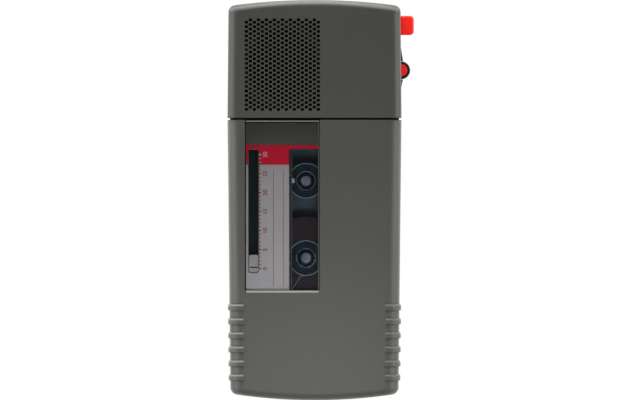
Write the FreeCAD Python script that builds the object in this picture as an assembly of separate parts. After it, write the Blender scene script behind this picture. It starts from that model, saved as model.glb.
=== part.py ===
import FreeCAD, Part
import math
import os

V = FreeCAD.Vector

# A hand-held dictation recorder for small steno cassettes, lying on its back.
# All sizes are millimetres. X runs to the right, Y towards the speaker end, Z towards the viewer.
# The origin is the centre of the flat back face.

# Clearances
running_fit = 0.05
body_gap = 0.30
door_gap = 0.20
slide_gap = 0.25
seat_gap = 0.15
tiny = 0.02

# Casing outline
length = 144.0
depth = 27.5
half_width_head = 30.95
half_width_gap = 31.33
half_width_foot = 30.22
head_arch_radius = 222.0
foot_arch_radius = 195.0
head_side_radius = 4.0
door_side_radius = 5.5
back_edge_radius = 3.0
head_end_radius = 2.5
foot_end_radius = 2.7

# Casing walls and the seams between the three shells
side_wall = 1.8
back_wall = 1.8
front_wall = 1.6
front_shell_depth = 11.0
head_shell_length = 42.4
gap_width = 0.76
side_groove_depth = 0.88
bulkhead_wall = 1.6

# Speaker panel: the columns of holes fill it from its left edge, and the rows fill its length
hole_columns = 19
hole_column_pitch = 1.436
hole_row_pitch = 1.650
hole_width = 1.46
hole_height = 1.10
hole_shoulder = 0.55
panel_side_edge = 4.14
panel_gap_edge = 0.60
panel_end_edge = 4.80
panel_margin = 1.61
panel_corner_radius = 1.2

# Speaker
speaker_radius = 15.5
speaker_rim_height = 1.2
speaker_basket_depth = 8.5
magnet_radius = 8.5
magnet_height = 4.0
cone_thickness = 0.5
speaker_rim_width = 2.0
basket_wall = 0.6
cone_play = 0.3
cone_pleats = 32
voice_coil_radius = 3.6

# Cassette door: notch for the window, grip ribs, hinge
notch_left = -25.05
notch_right = 1.98
notch_length = 62.29
notch_corner_radius = 1.2
window_setback = 0.36
window_recess = 0.35
window_bevel = 0.65
window_flange = 1.3
window_flange_height = 0.45
rib_count = 6
rib_pitch = 5.05
rib_foot_space = 34.76
rib_height = 0.6
rib_length = 2.7
rib_side_space = 5.02
rib_front_height = 0.3
rib_slope_length = 1.4
rib_slope_drop = 0.35
hinge_inset = 3.0
hinge_rise = 0.5
hinge_pin_radius = 0.6
hinge_eye_radius = 1.3
hinge_lug_width = 4.0
hinge_ear_width = 2.0
hinge_lug_x = 8.0
latch_hook_inset = 1.93
latch_hook_width = 4.0
latch_hook_drop = 2.6
latch_hook_thickness = 1.2
latch_hook_space = 2.0
latch_barb = 0.6
catch_leaf_thickness = 0.3
catch_play = 0.35
catch_length = 8.5
catch_foot_height = 1.2

# Steno cassette and its holder
cassette_left = -26.0
cassette_width = 49.0
cassette_length = 70.8
cassette_head_gap = 0.44
cassette_lift = 0.4
cassette_thickness = 8.4
cassette_wall = 1.0
cassette_corner_radius = 2.0
hub_inset_x = 22.94
hub_inset_y = 21.45
hub_spacing = 27.8
hub_flange_radius = 6.3
hub_bore_radius = 3.5
hub_tooth_length = 0.9
hub_tooth_width = 0.8
hub_tooth_count = 6
hub_foot_play = 0.45
hub_head_play = 0.35
hub_clamp_length = 1.6
hub_clamp_half = 0.9
hub_clamp_depth = 1.0
tape_pack_radius = 15.0
tape_width = 3.81
tape_thickness = 0.10
tape_roller_gap = 0.25
tape_leave_deg = -62.0
tape_arrive_deg = 55.0
tape_inset = 1.5
guide_roller_radius = 1.5
guide_roller_inset = 4.4
guide_pin_radius = 0.6
label_side = 1.5
label_foot_space = 8.55
label_head_space = 8.60
label_thickness = 0.08
label_cut_border = 0.1
label_recess = 0.10
slot_side = 0.7
slot_width = 3.8
slot_foot_space = 7.75
slot_head_space = 1.7
slot_foot_radius = 1.2
reel_window_half = 5.95
reel_window_foot_space = 1.45
reel_window_head_space = 1.5
reel_window_corner_radius = 0.6
pointer_length = 6.3
pointer_sink = 0.45
pointer_corner_radius = 0.9
pointer_sole_border = 0.6
pointer_sole_thickness = 0.7
pad_depth = 2.0
pad_half = 2.0
pad_leaf_half = 5.0
pad_leaf_thickness = 0.3
cassette_opening_half = 6.5
cassette_opening_depth = 2.1
holder_wall = 0.8
holder_lip_thickness = 0.7
holder_reach = 18.4
holder_lip = 1.6

# Controls on the right-hand side
key_width = 6.9
key_end_space = 5.6
key_reach = 4.75
key_height = 5.6
key_drop = 1.4
key_rim_bevel = 0.5
key_corner_radius = 1.4
key_flange_thickness = 1.5
key_flange_border = 1.0
key_stem_length = 6.6
key_stem_half = 2.0
switch_length = 6.0
switch_half = 2.2
switch_cover_thickness = 0.4
spring_radius = 1.5
spring_wall = 0.35
key_spring_length = 3.0
grip_below_panel_middle = 1.9
grip_stand_out = 0.08
grip_radius = 3.35
grip_teeth = 36
grip_tooth_depth = 0.28
grip_insert_radius = 2.2
grip_insert_sink = 0.5
grip_insert_rise = 0.15
grip_height = 6.0
grip_drop = 2.0
slide_length = 14.5
slide_hump = 0.85
slide_travel_up = 3.0
slide_travel_down = 6.0
track_depth = 1.1
neck_border = 0.8
skirt_shift = 0.65
slide_crest_half = 2.6
carriage_thickness = 1.2
carriage_half = 5.0
carriage_border = 1.2
slide_lug_length = 2.5
slide_lug_half = 1.2
slide_switch_width = 5.0
slide_switch_overhang = 4.0
slide_contact_count = 5
slide_contact_pitch = 3.0
slide_contact_width = 1.4

# Volume wheel and earphone socket on the left-hand side
volume_wheel_radius = 7.5
volume_wheel_below_panel_middle = 0.7
volume_wheel_rise = 3.0
volume_wheel_height = 3.0
volume_wheel_setback = 0.25
volume_wheel_teeth = 32
volume_tooth_depth = 0.35
volume_rim_width = 1.2
volume_hub_radius = 2.4
volume_dish_depth = 1.0
volume_axle_radius = 1.5
volume_axle_length = 2.0
volume_control_radius = 5.0
volume_tag_length = 3.5
volume_tag_half = 3.0
scoop_depth = 1.3
scoop_radius = 14.0
scoop_border = 2.0
jack_end_space = 10.0
jack_rise = 3.8
jack_bore_radius = 1.80
jack_bore_depth = 11.0
jack_block_length = 9.8
jack_block_half = 3.4
jack_nose_radius = 3.0

# Microphone in the speaker end
microphone_x = 8.0
microphone_z = 9.0
microphone_radius = 3.0
microphone_length = 4.0
microphone_boot_radius = 4.2
microphone_wall_gap = 0.6
sound_hole_radius = 0.8

# Batteries across the foot of the casing
cell_radius = 7.25
cell_length = 49.2
cell_nipple_radius = 2.7
cell_nipple_height = 1.2
cell_pitch = 14.8
cell_end_play = 0.2
foot_cell_space = 10.95
battery_wall = 1.0
battery_spring_radius = 3.0
battery_spring_wall = 0.6
battery_spring_length = 3.6
contact_thickness = 0.4
contact_half_height = 4.5
battery_door_side_space = 3.62
battery_door_foot_space = 4.4
battery_hinge_z = 1.2
battery_door_thickness = 1.6
battery_pin_radius = 0.5
battery_pin_length = 1.8
lid_groove_count = 4
lid_groove_space = 2.4
lid_groove_width = 0.8
lid_groove_half = 5.0
lid_groove_depth = 0.35
lid_edge_bevel = 1.6
lid_bevel_inset = 0.3

# Tape drive
chassis_thickness = 1.0
chassis_drop = 2.3
chassis_side_space = 1.93
chassis_head_space = 1.24
chassis_foot_space = 0.85
chassis_step = 8.84
chassis_hook_space = 1.6
pillar_radius = 1.8
pillar_x = 24.2
pillar_inset = 4.0
chassis_window_half_x = 4.5
chassis_window_half_y = 6.0
chassis_windows = ((-12.94, -12.95), (-12.94, 7.05), (14.06, -34.95))
capstan_above_hub = 1.05
capstan_radius = 1.0
capstan_hole_space = 1.6
flywheel_radius = 8.6
flywheel_drop = 5.2
flywheel_height = 3.0
bracket_thickness = 0.8
belt_width = 0.9
belt_thickness = 0.8
belt_groove_width = 1.2
turntable_radius = 8.5
turntable_height = 1.4
turntable_drop = 2.0
spindle_radius = 1.75
spindle_rib_count = 3
spindle_rib_height = 1.1
spindle_rib_half = 0.35
spindle_rib_space = 1.0
spindle_top_space = 2.1
bush_radius = 3.0
bush_foot = 0.3
bush_rise = 0.6
idler_radius = 4.2
idler_pivot_reach = 12.56
idler_arm_thickness = 0.6
idler_pin_radius = 0.7
idler_pivot_radius = 0.9
idler_arm_half = 1.8
motor_from_hub_x = 13.44
motor_from_hub_y = 4.65
motor_radius = 11.0
motor_height = 7.4
motor_boss_radius = 3.0
motor_boss_height = 0.6
motor_shaft_bearing = 3.1
motor_shaft_radius = 0.75
motor_pulley_radius = 2.2
pulley_groove_depth = 0.8
pulley_height = 2.6
pinch_radius = 2.8
pinch_height = 5.0
pinch_arm_length_x = 0.5
pinch_arm_length_y = 11.5
pinch_arm_thickness = 1.2
pinch_arm_half = 1.9
pinch_pivot_radius = 1.2
pinch_pin_radius = 0.8
head_below_capstan = 15.0
head_face_gap = 0.45
head_block_height = 5.0
record_head_width = 8.6
record_head_depth = 4.4
erase_head_width = 4.2
erase_head_depth = 3.4
erase_head_offset = 8.2
head_bracket_border = 0.6
head_bracket_length = 4.0
head_bracket_thickness = 1.0
head_foot_width = 2.8

# Electronics
board_z = 3.2
board_thickness = 1.2
board_side_space = 1.1
board_end_space = 3.4
board_rest_width = 1.5
chip_length = 14.0
chip_width = 6.0
chip_height = 2.2
chip_offset = 11.5
coil_x = 9.0
coil_length = 8.0
coil_width = 7.0
coil_height = 5.0
coil_corner_radius = 1.5
capacitor_radius = 2.2
capacitor_height = 6.0
capacitor_places = ((-10.0, -8.7), (-10.0, 7.3), (4.0, 11.0))
filter_length = 3.2
filter_width = 1.6
filter_height = 1.2
filter_offset = 4.7
filter_xs = (-8.0, -3.0, 2.0, 7.0)

# Case screws, driven in from the back
end_screw_x = 18.0
end_screw_space = 4.4
gap_screw_x = 25.2
gap_screw_space = 3.6
screw_radius = 1.0
screw_head_radius = 1.9
screw_head_height = 1.3
screw_slot_half = 1.3
screw_slot_width = 0.5
screw_slot_depth = 0.7
screw_sink = 2.6
screw_bite = 6.0
boss_radius = 2.4

# Places along the length that follow from the sizes above
head_end_y = length / 2
foot_end_y = -length / 2
gap_high_y = head_end_y - head_shell_length
gap_low_y = gap_high_y - gap_width
gap_middle_y = gap_low_y + gap_width / 2
bulkhead_y = gap_middle_y - bulkhead_wall / 2
panel_low = gap_high_y + panel_gap_edge
panel_high = head_end_y - panel_end_edge
panel_center_y = (panel_low + panel_high) / 2
hole_rows_length = panel_high - panel_low - 2 * panel_margin - hole_height
holes_per_column = math.floor(hole_rows_length / hole_row_pitch + 0.5 + tiny)
notch_bottom = gap_low_y - notch_length
rib_first_y = foot_end_y + rib_foot_space
hinge_y = foot_end_y + hinge_inset
cassette_head = gap_low_y - cassette_head_gap
cassette_foot = cassette_head - cassette_length
takeup_hub_y = cassette_head - hub_inset_y
supply_hub_y = takeup_hub_y - hub_spacing
guide_roller_ys = (cassette_foot + guide_roller_inset, cassette_head - guide_roller_inset)
label_foot = cassette_foot + label_foot_space
label_head = cassette_head - label_head_space
slot_foot = label_foot + slot_foot_space
slot_head = label_head - slot_head_space
reel_window_foot = label_foot + reel_window_foot_space
reel_window_head = label_head - reel_window_head_space
key_high_y = head_end_y - key_end_space
key_low_y = key_high_y - key_width
key_middle_y = (key_low_y + key_high_y) / 2
grip_y = panel_center_y - grip_below_panel_middle
volume_wheel_y = panel_center_y - volume_wheel_below_panel_middle
jack_y = head_end_y - jack_end_space
microphone_wall_y = head_end_y - side_wall - microphone_wall_gap
foot_cell_y = foot_end_y + foot_cell_space
second_cell_y = foot_cell_y + cell_pitch
battery_wall_y = second_cell_y + cell_radius + seat_gap
battery_hinge_y = battery_wall_y - running_fit
battery_door_foot = foot_end_y + battery_door_foot_space
chassis_head_y = gap_low_y - chassis_head_space
chassis_foot_y = battery_wall_y + battery_wall + chassis_foot_space
chassis_step_y = gap_low_y - chassis_step
capstan_y = takeup_hub_y + capstan_above_hub
idler_y = (takeup_hub_y + supply_hub_y) / 2
motor_y = supply_hub_y - motor_from_hub_y
pinch_y = capstan_y
pinch_pivot_y = pinch_y + pinch_arm_length_y
head_y = capstan_y - head_below_capstan
erase_head_y = head_y + erase_head_offset
opening_foot = head_y - cassette_opening_half
opening_head = capstan_y + cassette_opening_half
skirt_low_y = grip_y - slide_length / 2 + skirt_shift
end_screw_y = head_end_y - end_screw_space
gap_screw_y = gap_high_y + gap_screw_space
screw_places = ((-end_screw_x, end_screw_y), (end_screw_x, end_screw_y),
                (-gap_screw_x, gap_screw_y), (gap_screw_x, gap_screw_y))

# Heights above the back
front_inner_z = depth - front_wall
parting_z = depth - front_shell_depth
door_base_z = parting_z + door_gap
hinge_z = parting_z + hinge_rise
cassette_base_z = parting_z + cassette_lift
cassette_top_z = cassette_base_z + cassette_thickness
cassette_middle_z = cassette_base_z + cassette_thickness / 2
cassette_floor_z = cassette_base_z + cassette_wall
cassette_roof_z = cassette_top_z - cassette_wall
tape_low_z = cassette_middle_z - tape_width / 2
tape_high_z = cassette_middle_z + tape_width / 2
key_low_z = parting_z - key_drop - key_height
key_middle_z = key_low_z + key_height / 2
grip_low_z = parting_z - grip_drop - grip_height
grip_top_z = grip_low_z + grip_height
grip_middle_z = grip_low_z + grip_height / 2
board_top_z = board_z + board_thickness
volume_wheel_low_z = board_top_z + volume_wheel_rise
jack_z = board_top_z + jack_rise
cell_z = back_wall + seat_gap + cell_radius
speaker_rim_z = front_inner_z - speaker_rim_height
basket_low_z = front_inner_z - speaker_basket_depth
screw_tip_z = parting_z + screw_bite
chassis_z = cassette_base_z - chassis_drop
chassis_top_z = chassis_z + chassis_thickness
turntable_z = chassis_z - turntable_drop
turntable_top_z = turntable_z + turntable_height
spindle_top_z = cassette_top_z - spindle_top_space
flywheel_low_z = chassis_z - flywheel_drop
belt_z = flywheel_low_z + flywheel_height / 2
motor_shaft_z = back_wall + motor_shaft_bearing
idler_arm_z = turntable_z - body_gap - idler_arm_thickness
pinch_arm_z = chassis_top_z + 1.0
roller_z = cassette_middle_z - pinch_height / 2
hub_low_z = cassette_floor_z + hub_foot_play
hub_high_z = cassette_roof_z - hub_head_play
spill = 5.0

# Places across the width
panel_half_x = (hole_columns - 1) / 2 * hole_column_pitch + hole_width / 2 + panel_margin
panel_left = panel_side_edge - half_width_head
panel_right = panel_left + 2 * panel_half_x
panel_center_x = panel_left + panel_half_x
rib_inner_x = half_width_foot - rib_side_space
latch_hook_x = half_width_gap - side_wall - latch_hook_inset
cassette_right = cassette_left + cassette_width
hub_x = cassette_left + hub_inset_x
tape_line_x = cassette_right - tape_inset
guide_roller_x = tape_line_x - guide_roller_radius
label_left = cassette_left + label_side
label_right = cassette_right - label_side
slot_left = label_left + slot_side
slot_right = slot_left + slot_width
reel_window_left = hub_x - reel_window_half
reel_window_right = hub_x + reel_window_half
battery_door_half = half_width_foot - battery_door_side_space
battery_pin_end_x = battery_door_half + battery_pin_length
cell_room_half = half_width_foot - side_wall
contact_x = (cell_length + cell_nipple_height + battery_spring_length) / 2 + cell_end_play
chassis_half = half_width_gap - side_wall - chassis_side_space
capstan_x = tape_line_x - capstan_radius - body_gap
idler_pivot_x = hub_x + idler_pivot_reach
motor_x = hub_x - motor_from_hub_x
pinch_x = cassette_right + pinch_radius + 0.1
pinch_pivot_x = pinch_x - pinch_arm_length_x
tape_outer_x = guide_roller_x + guide_roller_radius + tape_roller_gap + tape_thickness
head_face_x = tape_outer_x + head_face_gap
head_bracket_x = chassis_half - seat_gap
opening_left = cassette_right - cassette_opening_depth
neck_half = grip_radius + neck_border
slide_inner_x = half_width_gap - side_wall - body_gap - carriage_thickness
slide_switch_x = slide_inner_x - slide_lug_length - body_gap


def half_width(y):
    """Half the casing's width at a place along its length."""
    if y > gap_middle_y:
        share = (y - gap_middle_y) / (head_end_y - gap_middle_y)
        return half_width_gap + (half_width_head - half_width_gap) * share
    share = (y - foot_end_y) / (gap_middle_y - foot_end_y)
    return half_width_foot + (half_width_gap - half_width_foot) * share


key_outer_x = half_width(key_low_y) + key_reach
key_flange_x = half_width(key_high_y) - side_wall - body_gap
key_stem_x = key_flange_x - key_stem_length
grip_x = half_width(grip_y) + grip_stand_out
volume_wheel_x = volume_wheel_radius + volume_wheel_setback - half_width(volume_wheel_y)
jack_outer_x = seat_gap - half_width(jack_y)


def box(x0, x1, y0, y1, z0, z1):
    """A block between two corners."""
    return Part.makeBox(x1 - x0, y1 - y0, z1 - z0, V(x0, y0, z0))


def post(x, y, z0, z1, radius):
    """A cylinder standing along Z."""
    return Part.makeCylinder(radius, z1 - z0, V(x, y, z0))


def bar_x(y, z, x0, x1, radius):
    """A cylinder lying along X."""
    return Part.makeCylinder(radius, x1 - x0, V(x0, y, z), V(1, 0, 0))


def bar_y(x, z, y0, y1, radius):
    """A cylinder lying along Y."""
    return Part.makeCylinder(radius, y1 - y0, V(x, y0, z), V(0, 1, 0))


def tube(x, y, z0, z1, outer, inner):
    """A ring or sleeve standing along Z."""
    return post(x, y, z0, z1, outer).cut(post(x, y, z0 - 1, z1 + 1, inner))


def plate(points, z0, z1):
    """A flat piece whose plan is a closed polygon."""
    corners = [V(x, y, z0) for x, y in points]
    face = Part.Face(Part.makePolygon(corners + corners[:1]))
    return face.extrude(V(0, 0, z1 - z0))


def round_plate(x0, x1, y0, y1, z0, z1, radius):
    """A rectangular block with rounded upright corners."""
    block = box(x0, x1, y0, y1, z0, z1)
    uprights = [e for e in block.Edges if abs(e.tangentAt(e.FirstParameter).z) > 0.9]
    return block.makeFillet(radius, uprights)


def foot_rounded_plate(x0, x1, y0, y1, z0, z1, radius):
    """A rectangular block with its two corners towards the foot rounded."""
    block = box(x0, x1, y0, y1, z0, z1)
    foot_uprights = []
    for edge in block.Edges:
        upright = abs(edge.tangentAt(edge.FirstParameter).z) > 0.9
        if upright and abs(edge.CenterOfMass.y - y0) < 0.001:
            foot_uprights.append(edge)
    return block.makeFillet(radius, foot_uprights)


def join(*shapes):
    """One solid from pieces that touch or overlap."""
    whole = shapes[0]
    for shape in shapes[1:]:
        whole = whole.fuse(shape)
    return whole.removeSplitter()


def carve(shape, *tools):
    """The shape with each tool cut away."""
    for tool in tools:
        shape = shape.cut(tool)
    return shape


def both_sides(shape):
    """A piece and its mirror image across the middle plane."""
    return [shape, shape.mirror(V(0, 0, 0), V(1, 0, 0))]


def group(*shapes):
    """Separate like solids kept together."""
    return Part.makeCompound(list(shapes))


def taper_bar(y0, half0, y1, half1, z_low, z_high, roundings):
    """A bar that tapers along Y; roundings lists (height, radius) for its long edges."""
    bar = plate([(-half0, y0), (half0, y0), (half1, y1), (-half1, y1)], z_low, z_high)
    for z, radius in roundings:
        edges = []
        for edge in bar.Edges:
            along = abs(edge.tangentAt(edge.FirstParameter).y) > 0.7
            if along and abs(edge.CenterOfMass.z - z) < 0.001:
                edges.append(edge)
        bar = bar.makeFillet(radius, edges)
    return bar


def long_bar(y0, y1, inset, z_low, z_high, r_low, r_high):
    """A length of the casing's own section, moved in from the outside by inset."""
    roundings = ((z_low, r_low), (z_high, r_high))
    return taper_bar(y0, half_width(y0) - inset, y1, half_width(y1) - inset, z_low, z_high, roundings)


def end_drum(radius, centre_y):
    """The upright drum that bows one end of the casing."""
    return post(0, centre_y, -spill, depth + spill, radius)


def round_end(solid, radius, fillet):
    """Rounds the rim of the bowed end that lies on the drum of the given radius."""
    for face in solid.Faces:
        surface = face.Surface
        if isinstance(surface, Part.Cylinder) and abs(surface.Radius - radius) < 0.001:
            return solid.makeFillet(fillet, face.OuterWire.Edges)
    return solid


def lower_form(inset=0.0, z_low=0.0, z_high=depth):
    """The casing from its foot up to the gap."""
    r_low = max(back_edge_radius - inset, 0.8)
    bar = long_bar(foot_end_y - spill, gap_middle_y, inset, z_low, z_high, r_low, door_side_radius - inset)
    radius = foot_arch_radius - inset
    solid = bar.common(end_drum(radius, foot_end_y + foot_arch_radius))
    return solid if inset else round_end(solid, radius, foot_end_radius)


def head_form(inset=0.0, z_low=0.0, z_high=depth):
    """The casing from the gap up to the speaker end."""
    r_low = max(back_edge_radius - inset, 0.8)
    bar = long_bar(gap_middle_y, head_end_y + spill, inset, z_low, z_high, r_low, head_side_radius - inset)
    radius = head_arch_radius - inset
    solid = bar.common(end_drum(radius, head_end_y - head_arch_radius))
    return solid if inset else round_end(solid, radius, head_end_radius)


def lower_room():
    """The space inside the casing's lower length."""
    return lower_form(side_wall, back_wall, front_inner_z)


def head_room():
    """The space inside the casing's speaker end."""
    return head_form(side_wall, back_wall, front_inner_z)


def slab(y0, y1, z0, z1):
    """A block wider than the casing, to cut or keep a length of it."""
    return box(-half_width_gap - spill, half_width_gap + spill, y0, y1, z0, z1)


def below(z):
    """Everything under a height."""
    return slab(foot_end_y - spill, head_end_y + spill, -spill, z)


# Hinge of the cassette door at the foot of the casing
nose_radius = hinge_y - foot_end_y
hinge_relief_radius = nose_radius + body_gap + running_fit
relief_z = hinge_z - hinge_relief_radius
ear_near = (hinge_lug_x - hinge_lug_width / 2 - slide_gap, hinge_lug_x + hinge_lug_width / 2 + slide_gap)
ear_spans = ((ear_near[0] - hinge_ear_width, ear_near[0]), (ear_near[1], ear_near[1] + hinge_ear_width))


def hinge_ear(span):
    """An upright ear on the casing that holds one end of a hinge pin."""
    low, high = span
    base_z = relief_z - hinge_ear_width
    web = box(low, high, hinge_y, hinge_y + hinge_eye_radius, base_z, hinge_z)
    foot = box(low, high, foot_end_y + 1.0, hinge_y + hinge_eye_radius, base_z, relief_z)
    eye = bar_x(hinge_y, hinge_z, low, high, hinge_eye_radius)
    return carve(join(web, foot, eye), bar_x(hinge_y, hinge_z, low - 1, high + 1, hinge_pin_radius))


def rear_shell():
    """Back half of the casing: a tub with the battery bay, bulkhead, screw pillars and control openings."""
    solid = lower_form().fuse(head_form()).common(below(parting_z))
    solid = carve(solid, lower_room(), head_room())
    inside = lower_form(side_wall - tiny, 0, depth).fuse(head_form(side_wall - tiny, 0, depth))
    ribs = [
        slab(bulkhead_y, bulkhead_y + bulkhead_wall, back_wall - tiny, parting_z),
        slab(battery_wall_y, battery_wall_y + battery_wall, back_wall - tiny, chassis_z),
        slab(foot_end_y, hinge_y + hinge_eye_radius, back_wall - tiny, relief_z),
    ]
    for rib in ribs:
        solid = solid.fuse(rib.common(inside))
    for x, y in screw_places:
        solid = solid.fuse(post(x, y, back_wall / 2, parting_z, boss_radius).common(inside.fuse(below(back_wall))))
    solid = carve(solid, bar_x(hinge_y, hinge_z, -half_width_gap, half_width_gap, hinge_relief_radius))
    solid = carve(solid, slab(foot_end_y - spill, hinge_y, relief_z, parting_z + 1))
    for span in ear_spans:
        for ear in both_sides(hinge_ear(span)):
            solid = solid.fuse(ear)
    cell_room = bar_x(foot_cell_y, cell_z, -cell_room_half, cell_room_half, cell_radius + slide_gap)
    solid = carve(solid, cell_room)
    for rest in board_rests() + chassis_pillars():
        solid = solid.fuse(rest)
    for groove in both_sides(side_groove()):
        solid = carve(solid, groove)
    for x, y in screw_places:
        solid = carve(solid, post(x, y, -1, screw_sink, screw_head_radius + slide_gap))
        solid = carve(solid, post(x, y, -1, parting_z + 1, screw_radius + 2 * running_fit))
    solid = carve(solid, battery_opening(), key_window(), slide_window(), wheel_slot(), finger_scoop())
    solid = carve(solid, microphone_hole())
    jack_room_end = side_wall + 1 - half_width_head
    solid = carve(solid, bar_x(jack_y, jack_z, -half_width_gap, jack_room_end, jack_nose_radius + tiny))
    return solid.Solids[0]


def side_groove():
    """The groove that carries the seam between the front shells down the casing's side."""
    outer = half_width_gap + 1
    return box(half_width_gap - side_groove_depth, outer, gap_low_y, gap_high_y, -1, parting_z + 1)


def battery_opening():
    """The way in for the cells, cut through the back."""
    half = battery_door_half + slide_gap
    cut = box(-half, half, battery_door_foot - slide_gap, battery_hinge_y, -1, back_wall + slide_gap)
    hinge_room = bar_x(battery_hinge_y, battery_hinge_z, -half, half, battery_hinge_z + body_gap)
    corner = V(-half, battery_hinge_y + lid_bevel_inset, -tiny)
    bevel_corners = [corner, corner + V(0, lid_edge_bevel, 0), corner + V(0, 0, lid_edge_bevel), corner]
    bevel = Part.Face(Part.makePolygon(bevel_corners)).extrude(V(2 * half, 0, 0))
    bore_end = battery_pin_end_x + running_fit
    pin_bores = bar_x(battery_hinge_y, battery_hinge_z, -bore_end, bore_end, battery_pin_radius + running_fit)
    return cut.fuse(hinge_room).fuse(bevel).fuse(pin_bores)


def microphone_hole():
    """The small sound hole in the speaker end."""
    return bar_y(microphone_x, microphone_z, microphone_wall_y, head_end_y + 1, sound_hole_radius)


def key_window():
    """The opening that the record key comes out of."""
    return box(half_width_head - side_wall - 2, half_width_gap + 2,
               key_low_y - slide_gap, key_high_y + slide_gap,
               key_low_z - slide_gap, key_low_z + key_height + slide_gap)


def slide_window():
    """The slot that the slide's neck runs in, with the shallow track for its skirt."""
    low_z = grip_low_z - slide_gap - seat_gap
    high_z = grip_top_z + slide_gap + seat_gap
    slot = box(half_width_head - side_wall - 2, half_width_gap + 2,
               grip_y - slide_travel_down - neck_half - slide_gap, grip_y + slide_travel_up + neck_half + slide_gap,
               low_z, high_z)
    track = box(half_width(grip_y) - track_depth, half_width_gap + 2,
                skirt_low_y - slide_travel_down - slide_gap, skirt_low_y + slide_length + slide_travel_up + slide_gap,
                low_z, high_z)
    return slot.fuse(track)


def wheel_slot():
    """The slot in the left side that the volume wheel shows through."""
    return post(volume_wheel_x, volume_wheel_y, volume_wheel_low_z - body_gap,
                volume_wheel_low_z + volume_wheel_height + body_gap, volume_wheel_radius + body_gap)


def finger_scoop():
    """A shallow dished recess round the volume wheel."""
    centre_x = scoop_depth - scoop_radius - half_width(volume_wheel_y)
    return post(centre_x, volume_wheel_y, volume_wheel_low_z - scoop_border,
                volume_wheel_low_z + volume_wheel_height + scoop_border, scoop_radius)


def head_cover():
    """Front shell of the speaker end, with a wall along the gap and pillars for the case screws."""
    solid = head_form().common(slab(gap_high_y, head_end_y + spill, parting_z, depth + spill))
    room = head_room().common(slab(gap_high_y + bulkhead_wall, head_end_y + spill, 0, depth + spill))
    solid = carve(solid, room)
    inside = head_form(side_wall - tiny, 0, depth)
    for x, y in screw_places:
        pillar = post(x, y, parting_z, front_inner_z + tiny, boss_radius).common(inside)
        solid = solid.fuse(pillar)
        solid = carve(solid, post(x, y, parting_z - 1, screw_tip_z + screw_radius, screw_radius + tiny))
    opening = round_plate(panel_left, panel_right, panel_low, panel_high, front_inner_z - 1, depth + 1,
                          panel_corner_radius)
    return carve(solid, opening).removeSplitter()


def speaker_grille():
    """The drilled panel: columns of holes, every other column half a pitch lower."""
    panel = round_plate(panel_left, panel_right, panel_low, panel_high, front_inner_z, depth, panel_corner_radius)
    outline = ((1, 0), (hole_shoulder, 1), (-hole_shoulder, 1), (-1, 0), (-hole_shoulder, -1), (hole_shoulder, -1))
    drills = []
    for column in range(hole_columns):
        x = panel_center_x + (column - (hole_columns - 1) / 2) * hole_column_pitch
        shift = 0.25 * hole_row_pitch * (-1 if column % 2 == 0 else 1)
        for row in range(holes_per_column):
            y = panel_center_y + (row - (holes_per_column - 1) / 2) * hole_row_pitch + shift
            corners = [(x + share_x * hole_width / 2, y + share_y * hole_height / 2) for share_x, share_y in outline]
            drills.append(plate(corners, front_inner_z - 1, depth + 1))
    return panel.cut(Part.makeCompound(drills))


def window_plan(grow, z0, z1):
    """The window's plan, with rounded foot corners, grown outwards on three sides."""
    return foot_rounded_plate(notch_left - grow, notch_right + grow, notch_bottom - grow, gap_low_y + spill, z0, z1,
                              notch_corner_radius + grow)


def side_rib(y_top):
    """One grip rib round the door's right shoulder: a band with a steep upper flank and a long lower one."""
    y_low = y_top - rib_length
    half = half_width((y_low + y_top) / 2) + rib_height
    top_z = depth + rib_front_height
    rounding = (top_z, door_side_radius + rib_front_height)
    band = taper_bar(y_low, half, y_top, half, door_base_z, top_z, (rounding,))
    for y, deep, along in ((y_top, rib_height, rib_height), (y_low, rib_slope_drop, rib_slope_length)):
        rim = []
        for edge in band.Edges:
            middle = edge.CenterOfMass
            if abs(middle.y - y) < 0.001 and middle.z > door_base_z + 1:
                rim.append(edge)
        band = band.makeChamfer(deep, along, rim)
    return band.common(box(rib_inner_x, half + spill, y_low - 1, y_top + 1, 0, depth + 1))


def cassette_door():
    """The lid over the lower length: notched for the window, ribbed at the foot, hinged at the end."""
    solid = lower_form().common(slab(foot_end_y - spill, gap_low_y, door_base_z, depth + spill))
    for k in range(rib_count):
        for rib in both_sides(side_rib(rib_first_y - k * rib_pitch)):
            solid = solid.fuse(rib)
    solid = carve(solid, lower_room())
    shoulder = lower_form().common(bar_x(hinge_y, hinge_z, -half_width_gap, half_width_gap, nose_radius))
    shoulder = shoulder.common(slab(foot_end_y - spill, hinge_y, 0, hinge_z + tiny))
    solid = solid.fuse(shoulder)
    solid = carve(solid, window_plan(0, front_inner_z - 1, depth + 1))
    for low, high in ear_spans:
        for room in both_sides(bar_x(hinge_y, hinge_z, low - slide_gap, high + slide_gap,
                                     hinge_eye_radius + slide_gap)):
            solid = carve(solid, room)
        for room in both_sides(box(low - slide_gap, high + slide_gap, foot_end_y - spill, hinge_y + nose_radius,
                                   relief_z - 2, hinge_z)):
            solid = carve(solid, room)
    inner_wall_y = foot_end_y + side_wall
    for side in (-1, 1):
        middle = side * hinge_lug_x
        low = middle - hinge_lug_width / 2
        high = middle + hinge_lug_width / 2
        lug = bar_x(hinge_y, hinge_z, low, high, hinge_eye_radius + body_gap)
        web = box(low, high, inner_wall_y - body_gap, hinge_y, hinge_z - hinge_eye_radius, hinge_z + hinge_lug_width)
        solid = solid.fuse(lug).fuse(web)
        solid = carve(solid, bar_x(hinge_y, hinge_z, low - 1, high + 1, hinge_pin_radius + running_fit))
    for hook in both_sides(latch_hook()):
        solid = solid.fuse(hook)
    return solid.removeSplitter()


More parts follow.
